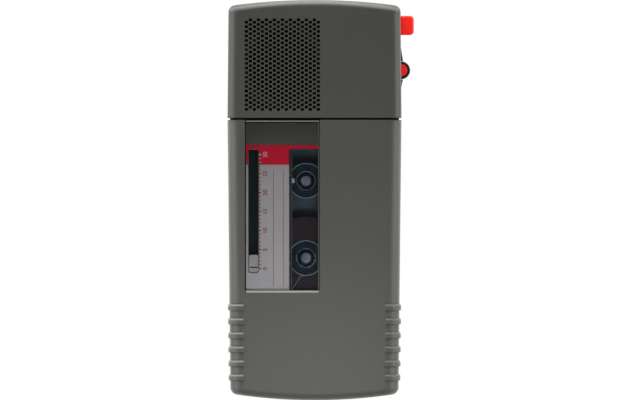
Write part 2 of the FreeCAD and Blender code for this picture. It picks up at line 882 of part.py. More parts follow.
def latch_hook():
    """A hook under the door's edge that clicks past the catch spring."""
    y1 = gap_low_y - latch_hook_space
    y0 = y1 - latch_hook_width
    low_z = parting_z - latch_hook_drop
    x1 = latch_hook_x
    x0 = x1 - latch_hook_thickness
    arm = box(x0, x1, y0, y1, low_z, door_base_z + latch_hook_drop)
    shelf = box(x0, half_width_gap - side_wall / 2, y0, y1, door_base_z, door_base_z + latch_hook_thickness)
    tip = V(x1, y0, low_z)
    barb_corners = [tip, tip + V(latch_barb, 0, latch_barb), tip + V(0, 0, 2 * latch_barb), tip]
    barb = Part.Face(Part.makePolygon(barb_corners)).extrude(V(0, y1 - y0, 0))
    return join(arm, shelf, barb)


def door_window():
    """The clear window: a plate in the notch with a bevelled rim and a hidden flange behind the door."""
    head_limit = slab(foot_end_y, gap_low_y - window_setback, 0, depth + 1)
    top_z = depth - window_recess
    pane = window_plan(-seat_gap, front_inner_z - tiny, top_z).common(head_limit)
    rim = []
    for edge in pane.Edges:
        centre = edge.CenterOfMass
        if abs(centre.z - top_z) < 0.01 and centre.y < gap_low_y - 1:
            rim.append(edge)
    pane = pane.makeChamfer(window_bevel, rim)
    flange = window_plan(window_flange, front_inner_z - window_flange_height, front_inner_z).common(head_limit)
    return join(pane, flange.common(lower_room()))


def hinge_pins():
    """The two pins of the cassette door's hinge."""
    pin = bar_x(hinge_y, hinge_z, ear_spans[0][0], ear_spans[1][1], hinge_pin_radius)
    return group(*both_sides(pin))


def battery_door():
    """The flat lid over the battery bay: a rounded nose at its inner edge turns on two moulded stub pins."""
    half = battery_door_half
    lid = box(-half, half, battery_door_foot, battery_hinge_y, 0, battery_door_thickness)
    nose = bar_x(battery_hinge_y, battery_hinge_z, -half, half, battery_hinge_z)
    lid = join(lid, nose).common(lower_form())
    for k in range(lid_groove_count):
        y = battery_door_foot + lid_groove_space + 2 * lid_groove_width * k
        lid = carve(lid, box(-lid_groove_half, lid_groove_half, y, y + lid_groove_width, -1, lid_groove_depth))
    pins = bar_x(battery_hinge_y, battery_hinge_z, -battery_pin_end_x, battery_pin_end_x, battery_pin_radius)
    return join(lid, pins)


def case_screws():
    """Four slotted screws, sunk into the back and driven into the head cover."""
    screws = []
    for x, y in screw_places:
        head_z = screw_sink - screw_head_height
        head = post(x, y, head_z, screw_sink, screw_head_radius)
        shank = post(x, y, screw_sink - tiny, screw_tip_z, screw_radius)
        slot = box(x - screw_slot_half, x + screw_slot_half, y - screw_slot_width / 2, y + screw_slot_width / 2,
                   head_z - 1, head_z + screw_slot_depth)
        screws.append(carve(join(head, shank), slot))
    return group(*screws)


def record_key():
    """The red key: a rounded cap, a retaining flange behind the wall and a guide stem."""
    cap = box(key_flange_x - 0.5, key_outer_x, key_low_y, key_high_y, key_low_z, key_low_z + key_height)
    corners = []
    rim = []
    for edge in cap.Edges:
        direction = edge.tangentAt(edge.FirstParameter)
        if edge.CenterOfMass.x > key_outer_x - 0.01:
            (corners if abs(direction.z) > 0.9 else rim).append(edge)
    cap = cap.makeFillet(key_corner_radius, corners)
    front_rim = []
    for edge in cap.Edges:
        place = edge.CenterOfMass
        on_face = abs(place.z - key_low_z) < 0.01 or abs(place.z - key_low_z - key_height) < 0.01
        if on_face and place.x > key_flange_x + 0.1:
            front_rim.append(edge)
    cap = cap.makeChamfer(key_rim_bevel, front_rim)
    border = key_flange_border
    flange = box(key_flange_x - key_flange_thickness, key_flange_x, key_low_y - border, key_high_y + border,
                 key_low_z - border, key_low_z + key_height + border)
    stem = box(key_stem_x, key_flange_x - border, key_middle_y - key_stem_half, key_middle_y + key_stem_half,
               key_middle_z - key_stem_half, key_middle_z + key_stem_half)
    return join(cap, flange, stem)


def key_spring():
    """The return spring between the record key's stem and its switch."""
    x0 = key_stem_x - key_spring_length
    outer = bar_x(key_middle_y, key_middle_z, x0, key_stem_x, spring_radius)
    return outer.cut(bar_x(key_middle_y, key_middle_z, x0 - 1, key_stem_x + 1, spring_radius - spring_wall))


def record_switch():
    """The switch on the board that the record key works."""
    x1 = key_stem_x - key_spring_length
    y0 = key_middle_y - switch_half
    y1 = key_middle_y + switch_half
    top_z = key_middle_z + switch_half
    body = box(x1 - switch_length, x1, y0, y1, board_top_z, top_z)
    cover = box(x1 - switch_length + 1, x1 - 1, y0, y1, top_z, top_z + switch_cover_thickness)
    return join(body, cover)


def transport_slide():
    """The slide: a skirt with a ramp on each side of the grip, and a carriage behind the wall."""
    skirt_high_y = skirt_low_y + slide_length
    edge = half_width(grip_y)
    base_x = edge - track_depth + seat_gap
    crest_x = edge + slide_hump
    plan = [(base_x, skirt_low_y), (edge + tiny, skirt_low_y), (crest_x, grip_y - slide_crest_half),
            (crest_x, grip_y + slide_crest_half), (edge + tiny, skirt_high_y), (base_x, skirt_high_y)]
    skirt = plate(plan, grip_low_z, grip_top_z)
    neck = box(slide_inner_x, base_x + tiny, grip_y - neck_half, grip_y + neck_half, grip_low_z, grip_top_z)
    carriage = box(slide_inner_x, slide_inner_x + carriage_thickness, grip_y - carriage_half, grip_y + carriage_half,
                   grip_low_z - carriage_border, grip_top_z + carriage_border)
    lug = box(slide_inner_x - slide_lug_length, slide_inner_x + tiny, grip_y - slide_lug_half,
              grip_y + slide_lug_half, grip_low_z + 1, grip_top_z - 1)
    whole = join(skirt, neck, carriage, lug)
    return carve(whole, post(grip_x, grip_y, grip_low_z - 2, grip_top_z + 2, grip_radius + tiny))


def toothed_disc(x, y, z0, z1, radius, teeth, tooth_depth):
    """A knurled disc: its rim is a row of small ridges."""
    points = []
    for k in range(teeth):
        for share, reach in ((0.0, radius - tooth_depth), (0.5, radius)):
            angle = 2 * math.pi * (k + share) / teeth
            points.append((x + reach * math.cos(angle), y + reach * math.sin(angle)))
    return plate(points, z0, z1)


def slide_grip():
    """The round knurled thumb grip, dished for its red face."""
    disc = toothed_disc(grip_x, grip_y, grip_low_z, grip_top_z, grip_radius, grip_teeth, grip_tooth_depth)
    return carve(disc, post(grip_x, grip_y, grip_top_z - grip_insert_sink, grip_top_z + 1, grip_insert_radius))


def slide_grip_face():
    """The red disc let into the grip."""
    return post(grip_x, grip_y, grip_top_z - grip_insert_sink, grip_top_z + grip_insert_rise, grip_insert_radius)


def slide_switch():
    """The switch body on the board that the slide's lug works."""
    high_y = grip_y + slide_travel_up + slide_switch_overhang
    low_y = grip_y - slide_travel_down - slide_switch_overhang
    top_z = grip_middle_z + slide_contact_width
    switch = box(slide_switch_x - slide_switch_width, slide_switch_x, low_y, high_y, board_top_z, top_z)
    for k in range(slide_contact_count):
        y = low_y + slide_contact_width + slide_contact_pitch * k
        contact = box(slide_switch_x - slide_switch_width + 0.5, slide_switch_x - 0.5, y, y + slide_contact_width,
                      top_z, top_z + contact_thickness)
        switch = switch.fuse(contact)
    return switch.removeSplitter()


def volume_wheel():
    """The ridged volume wheel with its stub axle."""
    top_z = volume_wheel_low_z + volume_wheel_height
    wheel = toothed_disc(volume_wheel_x, volume_wheel_y, volume_wheel_low_z, top_z, volume_wheel_radius,
                         volume_wheel_teeth, volume_tooth_depth)
    hollow = tube(volume_wheel_x, volume_wheel_y, top_z - volume_dish_depth, top_z + 1,
                  volume_wheel_radius - volume_rim_width, volume_hub_radius)
    axle = post(volume_wheel_x, volume_wheel_y, volume_wheel_low_z - volume_axle_length, volume_wheel_low_z + tiny,
                volume_axle_radius)
    return join(carve(wheel, hollow), axle)


def volume_control():
    """The rotary control on the board that the volume wheel turns."""
    body = tube(volume_wheel_x, volume_wheel_y, board_top_z, volume_wheel_low_z - body_gap, volume_control_radius,
                volume_axle_radius + running_fit)
    tag_x = volume_wheel_x + volume_control_radius
    tag = box(tag_x - 1, tag_x + volume_tag_length, volume_wheel_y - volume_tag_half,
              volume_wheel_y + volume_tag_half, board_top_z, board_top_z + 1)
    return join(body, tag)


def earphone_jack():
    """The earphone socket: a block on the board with its threaded-looking nose in the casing's side."""
    inner_x = side_wall + slide_gap - half_width(jack_y)
    block = box(inner_x, inner_x + jack_block_length, jack_y - jack_block_half, jack_y + jack_block_half,
                board_top_z, jack_z + jack_block_half)
    nose = bar_x(jack_y, jack_z, jack_outer_x, inner_x + 1, jack_nose_radius - running_fit)
    bore = bar_x(jack_y, jack_z, jack_outer_x - 1, jack_outer_x + jack_bore_depth, jack_bore_radius)
    return carve(join(block, nose), bore)


def main_board():
    """The circuit board under the speaker, notched round the screw pillars and the volume wheel's axle."""
    half = half_width_head - side_wall - board_side_space
    gap_half = gap_screw_x - boss_radius
    end_half = end_screw_x - boss_radius - 1
    low_y = gap_high_y + bulkhead_wall
    step_y = gap_screw_y + boss_radius + body_gap
    shoulder_y = end_screw_y - boss_radius - body_gap
    high_y = head_end_y - board_end_space
    plan = [(-gap_half, low_y), (gap_half, low_y), (gap_half, step_y), (half, step_y), (half, shoulder_y),
            (end_half, shoulder_y), (end_half, high_y), (-end_half, high_y), (-end_half, shoulder_y),
            (-half, shoulder_y), (-half, step_y), (-gap_half, step_y)]
    board = plate(plan, board_z, board_top_z)
    return carve(board, post(volume_wheel_x, volume_wheel_y, 0, board_top_z + 1, volume_axle_radius + body_gap))


def board_rests():
    """Two ledges on the casing's floor that the circuit board sits on."""
    half = end_screw_x
    low_y = gap_screw_y + boss_radius
    high_y = end_screw_y - boss_radius - board_rest_width - body_gap
    return [box(-half, half, y, y + board_rest_width, back_wall - tiny, board_z) for y in (low_y, high_y)]


def board_parts():
    """The chip, capacitors and coil on the circuit board."""
    middle = panel_center_y
    chip = box(-chip_length / 2, chip_length / 2, middle - chip_offset, middle - chip_offset + chip_width,
               board_top_z, board_top_z + chip_height)
    coil = round_plate(coil_x, coil_x + coil_length, middle, middle + coil_width, board_top_z,
                       board_top_z + coil_height, coil_corner_radius)
    cans = [post(x, middle + offset, board_top_z, board_top_z + capacitor_height, capacitor_radius)
            for x, offset in capacitor_places]
    filters = [box(x, x + filter_length, middle - filter_offset, middle - filter_offset + filter_width,
                   board_top_z, board_top_z + filter_height) for x in filter_xs]
    return group(chip, coil, *cans, *filters)


def turned(profile, x, y):
    """A solid of revolution about an upright axis from a closed outline of radius and height."""
    corners = [V(r, 0, z) for r, z in profile]
    face = Part.Face(Part.makePolygon(corners + corners[:1]))
    solid = face.revolve(V(0, 0, 0), V(0, 0, 1), 360)
    solid.translate(V(x, y, 0))
    return solid


def speaker_frame():
    """The drawn speaker basket: a straight can with a flat rim."""
    can_radius = speaker_radius - speaker_rim_width
    can = post(panel_center_x, panel_center_y, basket_low_z, front_inner_z, can_radius)
    rim = post(panel_center_x, panel_center_y, speaker_rim_z, front_inner_z, speaker_radius)
    room = post(panel_center_x, panel_center_y, basket_low_z + basket_wall, depth, can_radius - basket_wall)
    return carve(join(can, rim), room)


def speaker_cone():
    """The paper cone with its domed middle left open to the coil."""
    outer = speaker_radius - speaker_rim_width - basket_wall - cone_play
    top_z = front_inner_z - cone_play
    low_z = basket_low_z + basket_wall + tiny
    body = pleated_cone(voice_coil_radius, low_z, outer, top_z)
    hollow = pleated_cone(voice_coil_radius - cone_thickness, low_z + cone_thickness, outer - cone_thickness,
                          top_z + tiny)
    return carve(body, hollow)


def pleated_cone(low_radius, low_z, high_radius, high_z):
    """A many-sided cone in the speaker's place."""
    rings = []
    for radius, z in ((low_radius, low_z), (high_radius, high_z)):
        corners = []
        for k in range(cone_pleats):
            angle = 2 * math.pi * k / cone_pleats
            corners.append(V(panel_center_x + radius * math.cos(angle), panel_center_y + radius * math.sin(angle), z))
        rings.append(corners + corners[:1])
    low, high = rings
    faces = [Part.Face(Part.makePolygon(low)), Part.Face(Part.makePolygon(high))]
    for k in range(cone_pleats):
        faces.append(Part.Face(Part.makePolygon([low[k], low[k + 1], high[k + 1], high[k], low[k]])))
    return Part.makeSolid(Part.makeShell(faces))


def speaker_magnet():
    """The magnet pot under the basket."""
    low_z = basket_low_z - magnet_height
    return post(panel_center_x, panel_center_y, low_z, basket_low_z, magnet_radius)


def microphone():
    """The microphone capsule just inside the speaker end."""
    return bar_y(microphone_x, microphone_z, microphone_wall_y - microphone_length, microphone_wall_y,
                 microphone_radius)


def microphone_boot():
    """The rubber ring that holds the microphone capsule clear of the casing."""
    low_y = microphone_wall_y - microphone_length + body_gap
    high_y = microphone_wall_y - body_gap
    ring = bar_y(microphone_x, microphone_z, low_y, high_y, microphone_boot_radius)
    foot = box(microphone_x - microphone_radius, microphone_x + microphone_radius, low_y, high_y, board_top_z,
               microphone_z)
    return join(ring, foot).cut(bar_y(microphone_x, microphone_z, low_y - 1, high_y + 1, microphone_radius))


def cell(y, direction):
    """One round cell with its contact nipple pointing left or right."""
    tip_x = contact_x - cell_end_play
    shoulder_x = tip_x - cell_nipple_height
    can = bar_x(y, cell_z, shoulder_x - cell_length, shoulder_x, cell_radius)
    one = join(can, bar_x(y, cell_z, shoulder_x, tip_x, cell_nipple_radius))
    return one if direction > 0 else one.mirror(V(0, 0, 0), V(1, 0, 0))


def battery_cells():
    """The two cells, laid head to tail."""
    return group(cell(foot_cell_y, 1), cell(second_cell_y, -1))


def battery_contacts():
    """The contact plates: one bridge on the right, two single plates on the left."""
    half = contact_half_height
    low_z = cell_z - half
    high_z = cell_z + half
    far_x = contact_x + contact_thickness
    bridge = box(contact_x, far_x, foot_cell_y - half, second_cell_y + half, low_z, high_z)
    singles = [box(-far_x, -contact_x, y - half, y + half, low_z, high_z) for y in (foot_cell_y, second_cell_y)]
    return group(bridge, *singles)


def battery_springs():
    """The two sprung contacts at the flat ends of the cells."""
    springs = []
    for y, x0, x1 in ((foot_cell_y, -contact_x, battery_spring_length - contact_x),
                      (second_cell_y, contact_x - battery_spring_length, contact_x)):
        outer = bar_x(y, cell_z, x0, x1, battery_spring_radius)
        springs.append(outer.cut(bar_x(y, cell_z, x0 - 1, x1 + 1, battery_spring_radius - battery_spring_wall)))
    return group(*springs)


# Tape drive
def chassis_pillars():
    """The pillars on the casing's floor that the drive's plate stands on."""
    places = ((-pillar_x, chassis_step_y + pillar_inset), (pillar_x, chassis_step_y + pillar_inset),
              (-pillar_x, idler_y), (pillar_x, chassis_foot_y + pillar_inset))
    return [post(x, y, back_wall - tiny, chassis_z, pillar_radius) for x, y in places]


def chassis_plate():
    """The pressed plate that carries the whole tape drive."""
    half = chassis_half
    inner = latch_hook_x - chassis_hook_space
    plan = [(-half, chassis_foot_y), (half, chassis_foot_y), (half, chassis_step_y), (inner, chassis_step_y),
            (inner, chassis_head_y), (-inner, chassis_head_y), (-inner, chassis_step_y), (-half, chassis_step_y)]
    deck = plate(plan, chassis_z, chassis_top_z)
    for x, y in bush_places():
        deck = carve(deck, post(x, y, 0, depth, bush_radius))
    for dx, dy in chassis_windows:
        x = hub_x + dx
        y = takeup_hub_y + dy
        deck = carve(deck, box(x - chassis_window_half_x, x + chassis_window_half_x, y - chassis_window_half_y,
                               y + chassis_window_half_y, 0, depth))
    return deck


def bush_places():
    """Where the two spindles and the capstan come through the plate."""
    return ((hub_x, takeup_hub_y), (hub_x, supply_hub_y), (capstan_x, capstan_y))


def drive_bushes():
    """The plain bearings pressed into the plate for the two spindles and the capstan."""
    low_z = chassis_z - bush_foot
    high_z = chassis_top_z + bush_rise
    shaft_radii = (spindle_radius, spindle_radius, capstan_radius)
    return group(*[tube(x, y, low_z, high_z, bush_radius, radius + running_fit)
                   for (x, y), radius in zip(bush_places(), shaft_radii)])


def spindle(y):
    """A reel spindle: turntable under the plate, shaft, and three drive ribs inside the cassette's hub."""
    table = post(hub_x, y, turntable_z, turntable_top_z, turntable_radius)
    shaft = post(hub_x, y, turntable_z, spindle_top_z, spindle_radius)
    ribs = []
    for k in range(spindle_rib_count):
        rib = box(hub_x, hub_x + spindle_radius + spindle_rib_height, y - spindle_rib_half, y + spindle_rib_half,
                  cassette_floor_z + spindle_rib_space, spindle_top_z - spindle_rib_space)
        rib.rotate(V(hub_x, y, 0), V(0, 0, 1), 30 + 360 / spindle_rib_count * k)
        ribs.append(rib)
    return join(table, shaft, *ribs)


def takeup_spindle():
    """The spindle that winds the tape up."""
    return spindle(takeup_hub_y)


def supply_spindle():
    """The spindle in the full hub."""
    return spindle(supply_hub_y)


def flywheel():
    """The flywheel with its belt groove."""
    rim = flywheel_radius
    groove = rim - belt_width
    low = flywheel_low_z
    high = low + flywheel_height
    groove_low = belt_z - belt_groove_width / 2
    groove_high = belt_z + belt_groove_width / 2
    profile = [(capstan_radius, low), (rim, low), (rim, groove_low), (groove, groove_low),
               (groove, groove_high), (rim, groove_high), (rim, high), (capstan_radius, high)]
    return turned(profile, capstan_x, capstan_y)


def capstan_shaft():
    """The capstan: the flywheel's ground shaft, standing up inside the cassette behind the tape."""
    return post(capstan_x, capstan_y, flywheel_low_z - body_gap, spindle_top_z, capstan_radius)


def flywheel_bracket():
    """The bent bracket under the flywheel that takes the capstan's end."""
    foot_y = capstan_y + flywheel_radius + bracket_thickness
    high_z = flywheel_low_z - body_gap - tiny
    low_z = high_z - bracket_thickness
    left = capstan_x - bush_radius
    right = capstan_x + bush_radius
    floor = box(left, right, capstan_y - bush_radius, foot_y + bracket_thickness, low_z, high_z)
    leg = box(left, right, foot_y, foot_y + bracket_thickness, low_z, chassis_z)
    return join(floor, leg)


def motor():
    """The flat drive motor with its shaft boss."""
    top_z = back_wall + motor_height
    can = post(motor_x, motor_y, back_wall, top_z - motor_boss_height, motor_radius)
    boss = post(motor_x, motor_y, back_wall, top_z, motor_boss_radius)
    bore = post(motor_x, motor_y, motor_shaft_z - body_gap, depth, motor_shaft_radius + running_fit)
    return carve(join(can, boss), bore)


def motor_pulley():
    """The motor's shaft and its grooved pulley."""
    low = belt_z - pulley_height / 2
    high = belt_z + pulley_height / 2
    pulley = post(motor_x, motor_y, low, high, motor_pulley_radius)
    groove = tube(motor_x, motor_y, belt_z - belt_groove_width / 2, belt_z + belt_groove_width / 2,
                  motor_pulley_radius + 1, motor_pulley_radius - pulley_groove_depth)
    shaft = post(motor_x, motor_y, motor_shaft_z, high, motor_shaft_radius)
    return join(carve(pulley, groove), shaft)


def loop_plan(first, first_radius, second, second_radius):
    """The face inside a belt drawn tight round two circles."""
    span = second - first
    reach = span.Length
    heading = math.atan2(span.y, span.x)
    lean = math.acos((first_radius - second_radius) / reach)
    places = []
    for centre, radius in ((first, first_radius), (second, second_radius)):
        for turn in (lean, -lean):
            angle = heading + turn
            places.append(centre + V(radius * math.cos(angle), radius * math.sin(angle), 0))
    far_first = first - V(math.cos(heading), math.sin(heading), 0) * first_radius
    far_second = second + V(math.cos(heading), math.sin(heading), 0) * second_radius
    edges = [Part.Arc(places[0], far_first, places[1]).toShape(), Part.LineSegment(places[1], places[3]).toShape(),
             Part.Arc(places[3], far_second, places[2]).toShape(), Part.LineSegment(places[2], places[0]).toShape()]
    return Part.Face(Part.Wire(edges))


def drive_belt():
    """The square rubber belt from the motor pulley to the flywheel."""
    low_z = belt_z - belt_thickness / 2
    first = V(motor_x, motor_y, low_z)
    second = V(capstan_x, capstan_y, low_z)
    inner_first = motor_pulley_radius - pulley_groove_depth + running_fit
    inner_second = flywheel_radius - belt_width + running_fit
    way = V(0, 0, belt_thickness)
    outer = loop_plan(first, inner_first + belt_thickness, second, inner_second + belt_thickness).extrude(way)
    inner = loop_plan(first, inner_first, second, inner_second).extrude(way)
    return outer.cut(inner)


def strap(x0, y0, x1, y1, radius, z0, z1):
    """A flat lever with round ends."""
    plan = loop_plan(V(x0, y0, z0), radius, V(x1, y1, z0), radius)
    return plan.extrude(V(0, 0, z1 - z0))


def idler_arm():
    """The swinging arm that carries the idler between the two turntables."""
    top_z = idler_arm_z + idler_arm_thickness
    lever = strap(idler_pivot_x, idler_y, hub_x, idler_y, idler_arm_half, idler_arm_z, top_z)
    pin = post(hub_x, idler_y, idler_arm_z, turntable_top_z + body_gap, idler_pin_radius)
    sleeve = post(idler_pivot_x, idler_y, idler_arm_z, turntable_z + 2 * idler_arm_thickness, idler_arm_half)
    lever = join(lever, pin, sleeve)
    return carve(lever, post(idler_pivot_x, idler_y, 0, depth, idler_pivot_radius + running_fit))


def idler_wheel():
    """The rubber-tyred idler that drives either turntable."""
    return tube(hub_x, idler_y, turntable_z, turntable_top_z, idler_radius,
                idler_pin_radius + running_fit)


def drive_pivots():
    """The posts under and over the plate that the idler arm and the pinch arm swing on."""
    idler_post = post(idler_pivot_x, idler_y, idler_arm_z - idler_arm_thickness, chassis_z, idler_pivot_radius)
    pinch_post = post(pinch_pivot_x, pinch_pivot_y, chassis_top_z, pinch_arm_z + 2 * pinch_arm_thickness,
                      pinch_pivot_radius)
    collar = post(pinch_pivot_x, pinch_pivot_y, chassis_top_z, pinch_arm_z - body_gap, pinch_arm_half)
    return group(idler_post, join(pinch_post, collar))


def pinch_arm():
    """The arm that swings the pinch roller towards the capstan."""
    top_z = pinch_arm_z + pinch_arm_thickness
    lever = strap(pinch_pivot_x, pinch_pivot_y, pinch_x, pinch_y, pinch_arm_half, pinch_arm_z, top_z)
    pin = post(pinch_x, pinch_y, pinch_arm_z, roller_z + pinch_height + body_gap, pinch_pin_radius)
    return carve(join(lever, pin), post(pinch_pivot_x, pinch_pivot_y, 0, depth, pinch_pivot_radius + running_fit))


def pinch_roller():
    """The rubber pinch roller."""
    return tube(pinch_x, pinch_y, roller_z, roller_z + pinch_height, pinch_radius, pinch_pin_radius + running_fit)


def tape_head(y, width, depth_x):
    """A tape head: a block whose face towards the tape is rounded."""
    block = box(head_face_x, head_face_x + depth_x, y - width / 2, y + width / 2, roller_z,
                roller_z + head_block_height)
    face_edges = []
    for edge in block.Edges:
        upright = abs(edge.tangentAt(edge.FirstParameter).z) > 0.9
        if upright and edge.CenterOfMass.x < head_face_x + tiny:
            face_edges.append(edge)
    return block.makeFillet(width / 4, face_edges)


def record_head():
    """The record and playback head."""
    return tape_head(head_y, record_head_width, record_head_depth)


def erase_head():
    """The smaller erase head beside it."""
    return tape_head(erase_head_y, erase_head_width, erase_head_depth)


def head_bracket():
    """The stepped bracket that holds both heads at tape height."""
    low_y = head_y - record_head_width / 2 - head_bracket_border
    high_y = erase_head_y + erase_head_width / 2 + head_bracket_border
    deck = box(head_bracket_x - head_bracket_length, head_bracket_x, low_y, high_y, roller_z - head_bracket_thickness,
               roller_z)
    foot = box(head_bracket_x - head_foot_width, head_bracket_x, low_y, high_y, chassis_top_z, roller_z)
    return join(deck, foot)


def catch_springs():
    """The leaf springs on the casing's sides that the door's hooks click past."""
    y1 = gap_low_y - latch_hook_space + latch_barb
    y0 = y1 - latch_hook_width - 2 * latch_barb
    x0 = latch_hook_x + latch_barb + catch_play
    wall_x = half_width(y0) - side_wall - tiny
    low_z = parting_z - catch_length
    leaf = box(x0, x0 + catch_leaf_thickness, y0, y1, low_z, parting_z - body_gap)
    foot = box(x0, wall_x - running_fit, y0, y1, low_z, low_z + catch_foot_height)
    return group(*both_sides(join(leaf, foot)))


# Steno cassette, carried in a holder under the door
def cassette_half(z0, z1, cavity_z0, cavity_z1):
    """One moulded half of the cassette, open where the heads and the pinch roller come in."""
    shell = round_plate(cassette_left, cassette_right, cassette_foot, cassette_head, z0, z1, cassette_corner_radius)
    room = round_plate(cassette_left + cassette_wall, cassette_right - cassette_wall, cassette_foot + cassette_wall,
                       cassette_head - cassette_wall, cavity_z0, cavity_z1, cassette_corner_radius - cassette_wall)
    opening = box(opening_left, cassette_right + 1, opening_foot, opening_head, z0 - 1, z1 + 1)
    return carve(shell, room, opening)


def cassette_lower():
    """The lower half: hub holes, the capstan's hole and the guide roller pins."""
    half = cassette_half(cassette_base_z, cassette_middle_z, cassette_floor_z, cassette_middle_z + 1)
    for y in (takeup_hub_y, supply_hub_y):
        half = carve(half, post(hub_x, y, 0, depth, hub_bore_radius + body_gap))
    half = carve(half, post(capstan_x, capstan_y, 0, depth, capstan_radius + capstan_hole_space))
    for y in guide_roller_ys:
        half = join(half, post(guide_roller_x, y, cassette_floor_z - tiny, cassette_roof_z, guide_pin_radius))
    return half


def cassette_upper():
    """The upper half: the long reel window, the index slot and the bare finger end."""
    half = cassette_half(cassette_middle_z, cassette_top_z, cassette_middle_z - 1, cassette_roof_z)
    half = carve(half, reel_window_hole(0), index_slot(0))
    recess = box(label_left, label_right, label_foot, label_head, cassette_top_z - label_recess, depth)
    return carve(half, recess)


def reel_window_hole(grow):
    """The rectangular hole over both hubs."""
    return foot_rounded_plate(reel_window_left - grow, reel_window_right + grow, reel_window_foot - grow,
                              reel_window_head + grow, cassette_roof_z - 1, depth, reel_window_corner_radius + grow)


def index_slot(grow):
    """The long slot that the index pointer slides in, with a rounded foot."""
    return foot_rounded_plate(slot_left - grow, slot_right + grow, slot_foot - grow, slot_head + grow,
                              cassette_roof_z - 1, depth, slot_foot_radius + grow)


def cassette_label():
    """The paper label with its cut-outs for the reel window and the index slot."""
    top_z = cassette_top_z - label_recess + label_thickness
    sheet = box(label_left, label_right, label_foot, label_head, cassette_top_z - label_recess, top_z)
    opening = box(opening_left - seat_gap, label_right + 1, opening_foot - seat_gap, opening_head + seat_gap, 0,
                  depth)
    return carve(sheet, reel_window_hole(label_cut_border), index_slot(label_cut_border), opening)


def reel_window():
    """The clear pane set into the cassette over the hubs."""
    return foot_rounded_plate(reel_window_left, reel_window_right, reel_window_foot, reel_window_head,
                              cassette_roof_z + body_gap, cassette_top_z - 2 * label_recess,
                              reel_window_corner_radius)


def index_pointer():
    """The light pointer in the index slot, with its foot under the slot's edges."""
    low_y = slot_foot + seat_gap
    high_y = low_y + pointer_length
    sole_top_z = cassette_roof_z - slide_gap
    tongue = round_plate(slot_left + seat_gap, slot_right - seat_gap, low_y, high_y, sole_top_z - tiny,
                         cassette_top_z - pointer_sink, pointer_corner_radius)
    sole = box(slot_left, slot_right + pointer_sole_border, low_y + pointer_sole_border, high_y - slide_gap,
               sole_top_z - pointer_sole_thickness, sole_top_z)
    return join(tongue, sole)


def reel_hub(y):
    """A tape hub: a ring with six drive teeth inside and the clamp that holds the tape's end."""
    hub = tube(hub_x, y, hub_low_z, hub_high_z, hub_flange_radius, hub_bore_radius)
    for k in range(hub_tooth_count):
        tooth = box(hub_x + hub_bore_radius - hub_tooth_length, hub_x + hub_bore_radius + body_gap,
                    y - hub_tooth_width / 2, y + hub_tooth_width / 2, hub_low_z, hub_high_z)
        tooth.rotate(V(hub_x, y, 0), V(0, 0, 1), 360.0 / hub_tooth_count * k)
        hub = hub.fuse(tooth)
    clamp = box(hub_x - hub_flange_radius - 1, hub_x - hub_flange_radius + hub_clamp_length, y - hub_clamp_half,
                y + hub_clamp_half, hub_high_z - hub_clamp_depth, hub_high_z + 1)
    return carve(hub, clamp).removeSplitter()


def takeup_hub():
    """The empty hub."""
    return reel_hub(takeup_hub_y)


def supply_hub():
    """The full hub."""
    return reel_hub(supply_hub_y)


def tape_pack():
    """The wound tape on the lower hub."""
    return tube(hub_x, supply_hub_y, tape_low_z, tape_high_z, tape_pack_radius, hub_flange_radius)


def tape_run():
    """The tape's path from the full hub, past both guide rollers and the heads, to the empty hub."""
    low_y, high_y = guide_roller_ys
    bend = tape_outer_x - guide_roller_x
    leave_turn = math.radians(tape_leave_deg)
    arrive_turn = math.radians(tape_arrive_deg)
    leave_reach = tape_pack_radius + body_gap
    arrive_reach = hub_flange_radius + body_gap
    leave = V(hub_x + leave_reach * math.cos(leave_turn), supply_hub_y + leave_reach * math.sin(leave_turn), 0)
    arrive = V(hub_x + arrive_reach * math.cos(arrive_turn), takeup_hub_y + arrive_reach * math.sin(arrive_turn), 0)

    def rim(inset):
        radius = bend - inset
        slant = radius * math.sqrt(0.5)
        low_mid = V(guide_roller_x + slant, low_y - slant, 0)
        high_mid = V(guide_roller_x + slant, high_y + slant, 0)
        return (V(guide_roller_x - body_gap, low_y - radius, 0), low_mid, V(tape_outer_x - inset, low_y, 0),
                V(tape_outer_x - inset, high_y, 0), high_mid, V(guide_roller_x - body_gap, high_y + radius, 0))

    a = rim(0)
    b = rim(tape_thickness)
    lift = V(0, tape_thickness, 0)
    edges = [Part.LineSegment(leave, a[0]).toShape(), Part.Arc(a[0], a[1], a[2]).toShape(),
             Part.LineSegment(a[2], a[3]).toShape(), Part.Arc(a[3], a[4], a[5]).toShape(),
             Part.LineSegment(a[5], arrive).toShape(), Part.LineSegment(arrive, arrive - lift).toShape(),
             Part.LineSegment(arrive - lift, b[5]).toShape(), Part.Arc(b[5], b[4], b[3]).toShape(),
             Part.LineSegment(b[3], b[2]).toShape(), Part.Arc(b[2], b[1], b[0]).toShape(),
             Part.LineSegment(b[0], leave + lift).toShape(), Part.LineSegment(leave + lift, leave).toShape()]
    ribbon = Part.Face(Part.Wire(edges)).extrude(V(0, 0, tape_width))
    ribbon.translate(V(0, 0, tape_low_z))
    return ribbon


def guide_roller(y):
    """A small flanged roller that the tape turns the corner on."""
    return tube(guide_roller_x, y, cassette_floor_z + body_gap, cassette_roof_z - body_gap, guide_roller_radius,
                guide_pin_radius + running_fit)


def guide_roller_foot():
    """The roller in the cassette's foot corner."""
    return guide_roller(guide_roller_ys[0])


def guide_roller_head():
    """The roller in the cassette's head corner."""
    return guide_roller(guide_roller_ys[1])


def pressure_pad():
    """The leaf spring and felt pad that press the tape to the record head."""
    felt_x = tape_line_x - pad_depth
    leaf = box(felt_x - pad_leaf_thickness, felt_x, head_y - pad_leaf_half, head_y + pad_leaf_half, cassette_floor_z,
               cassette_roof_z - slide_gap)
    felt = box(felt_x, tape_line_x + seat_gap, head_y - pad_half, head_y + pad_half, tape_low_z, tape_high_z)
    return join(leaf, felt)


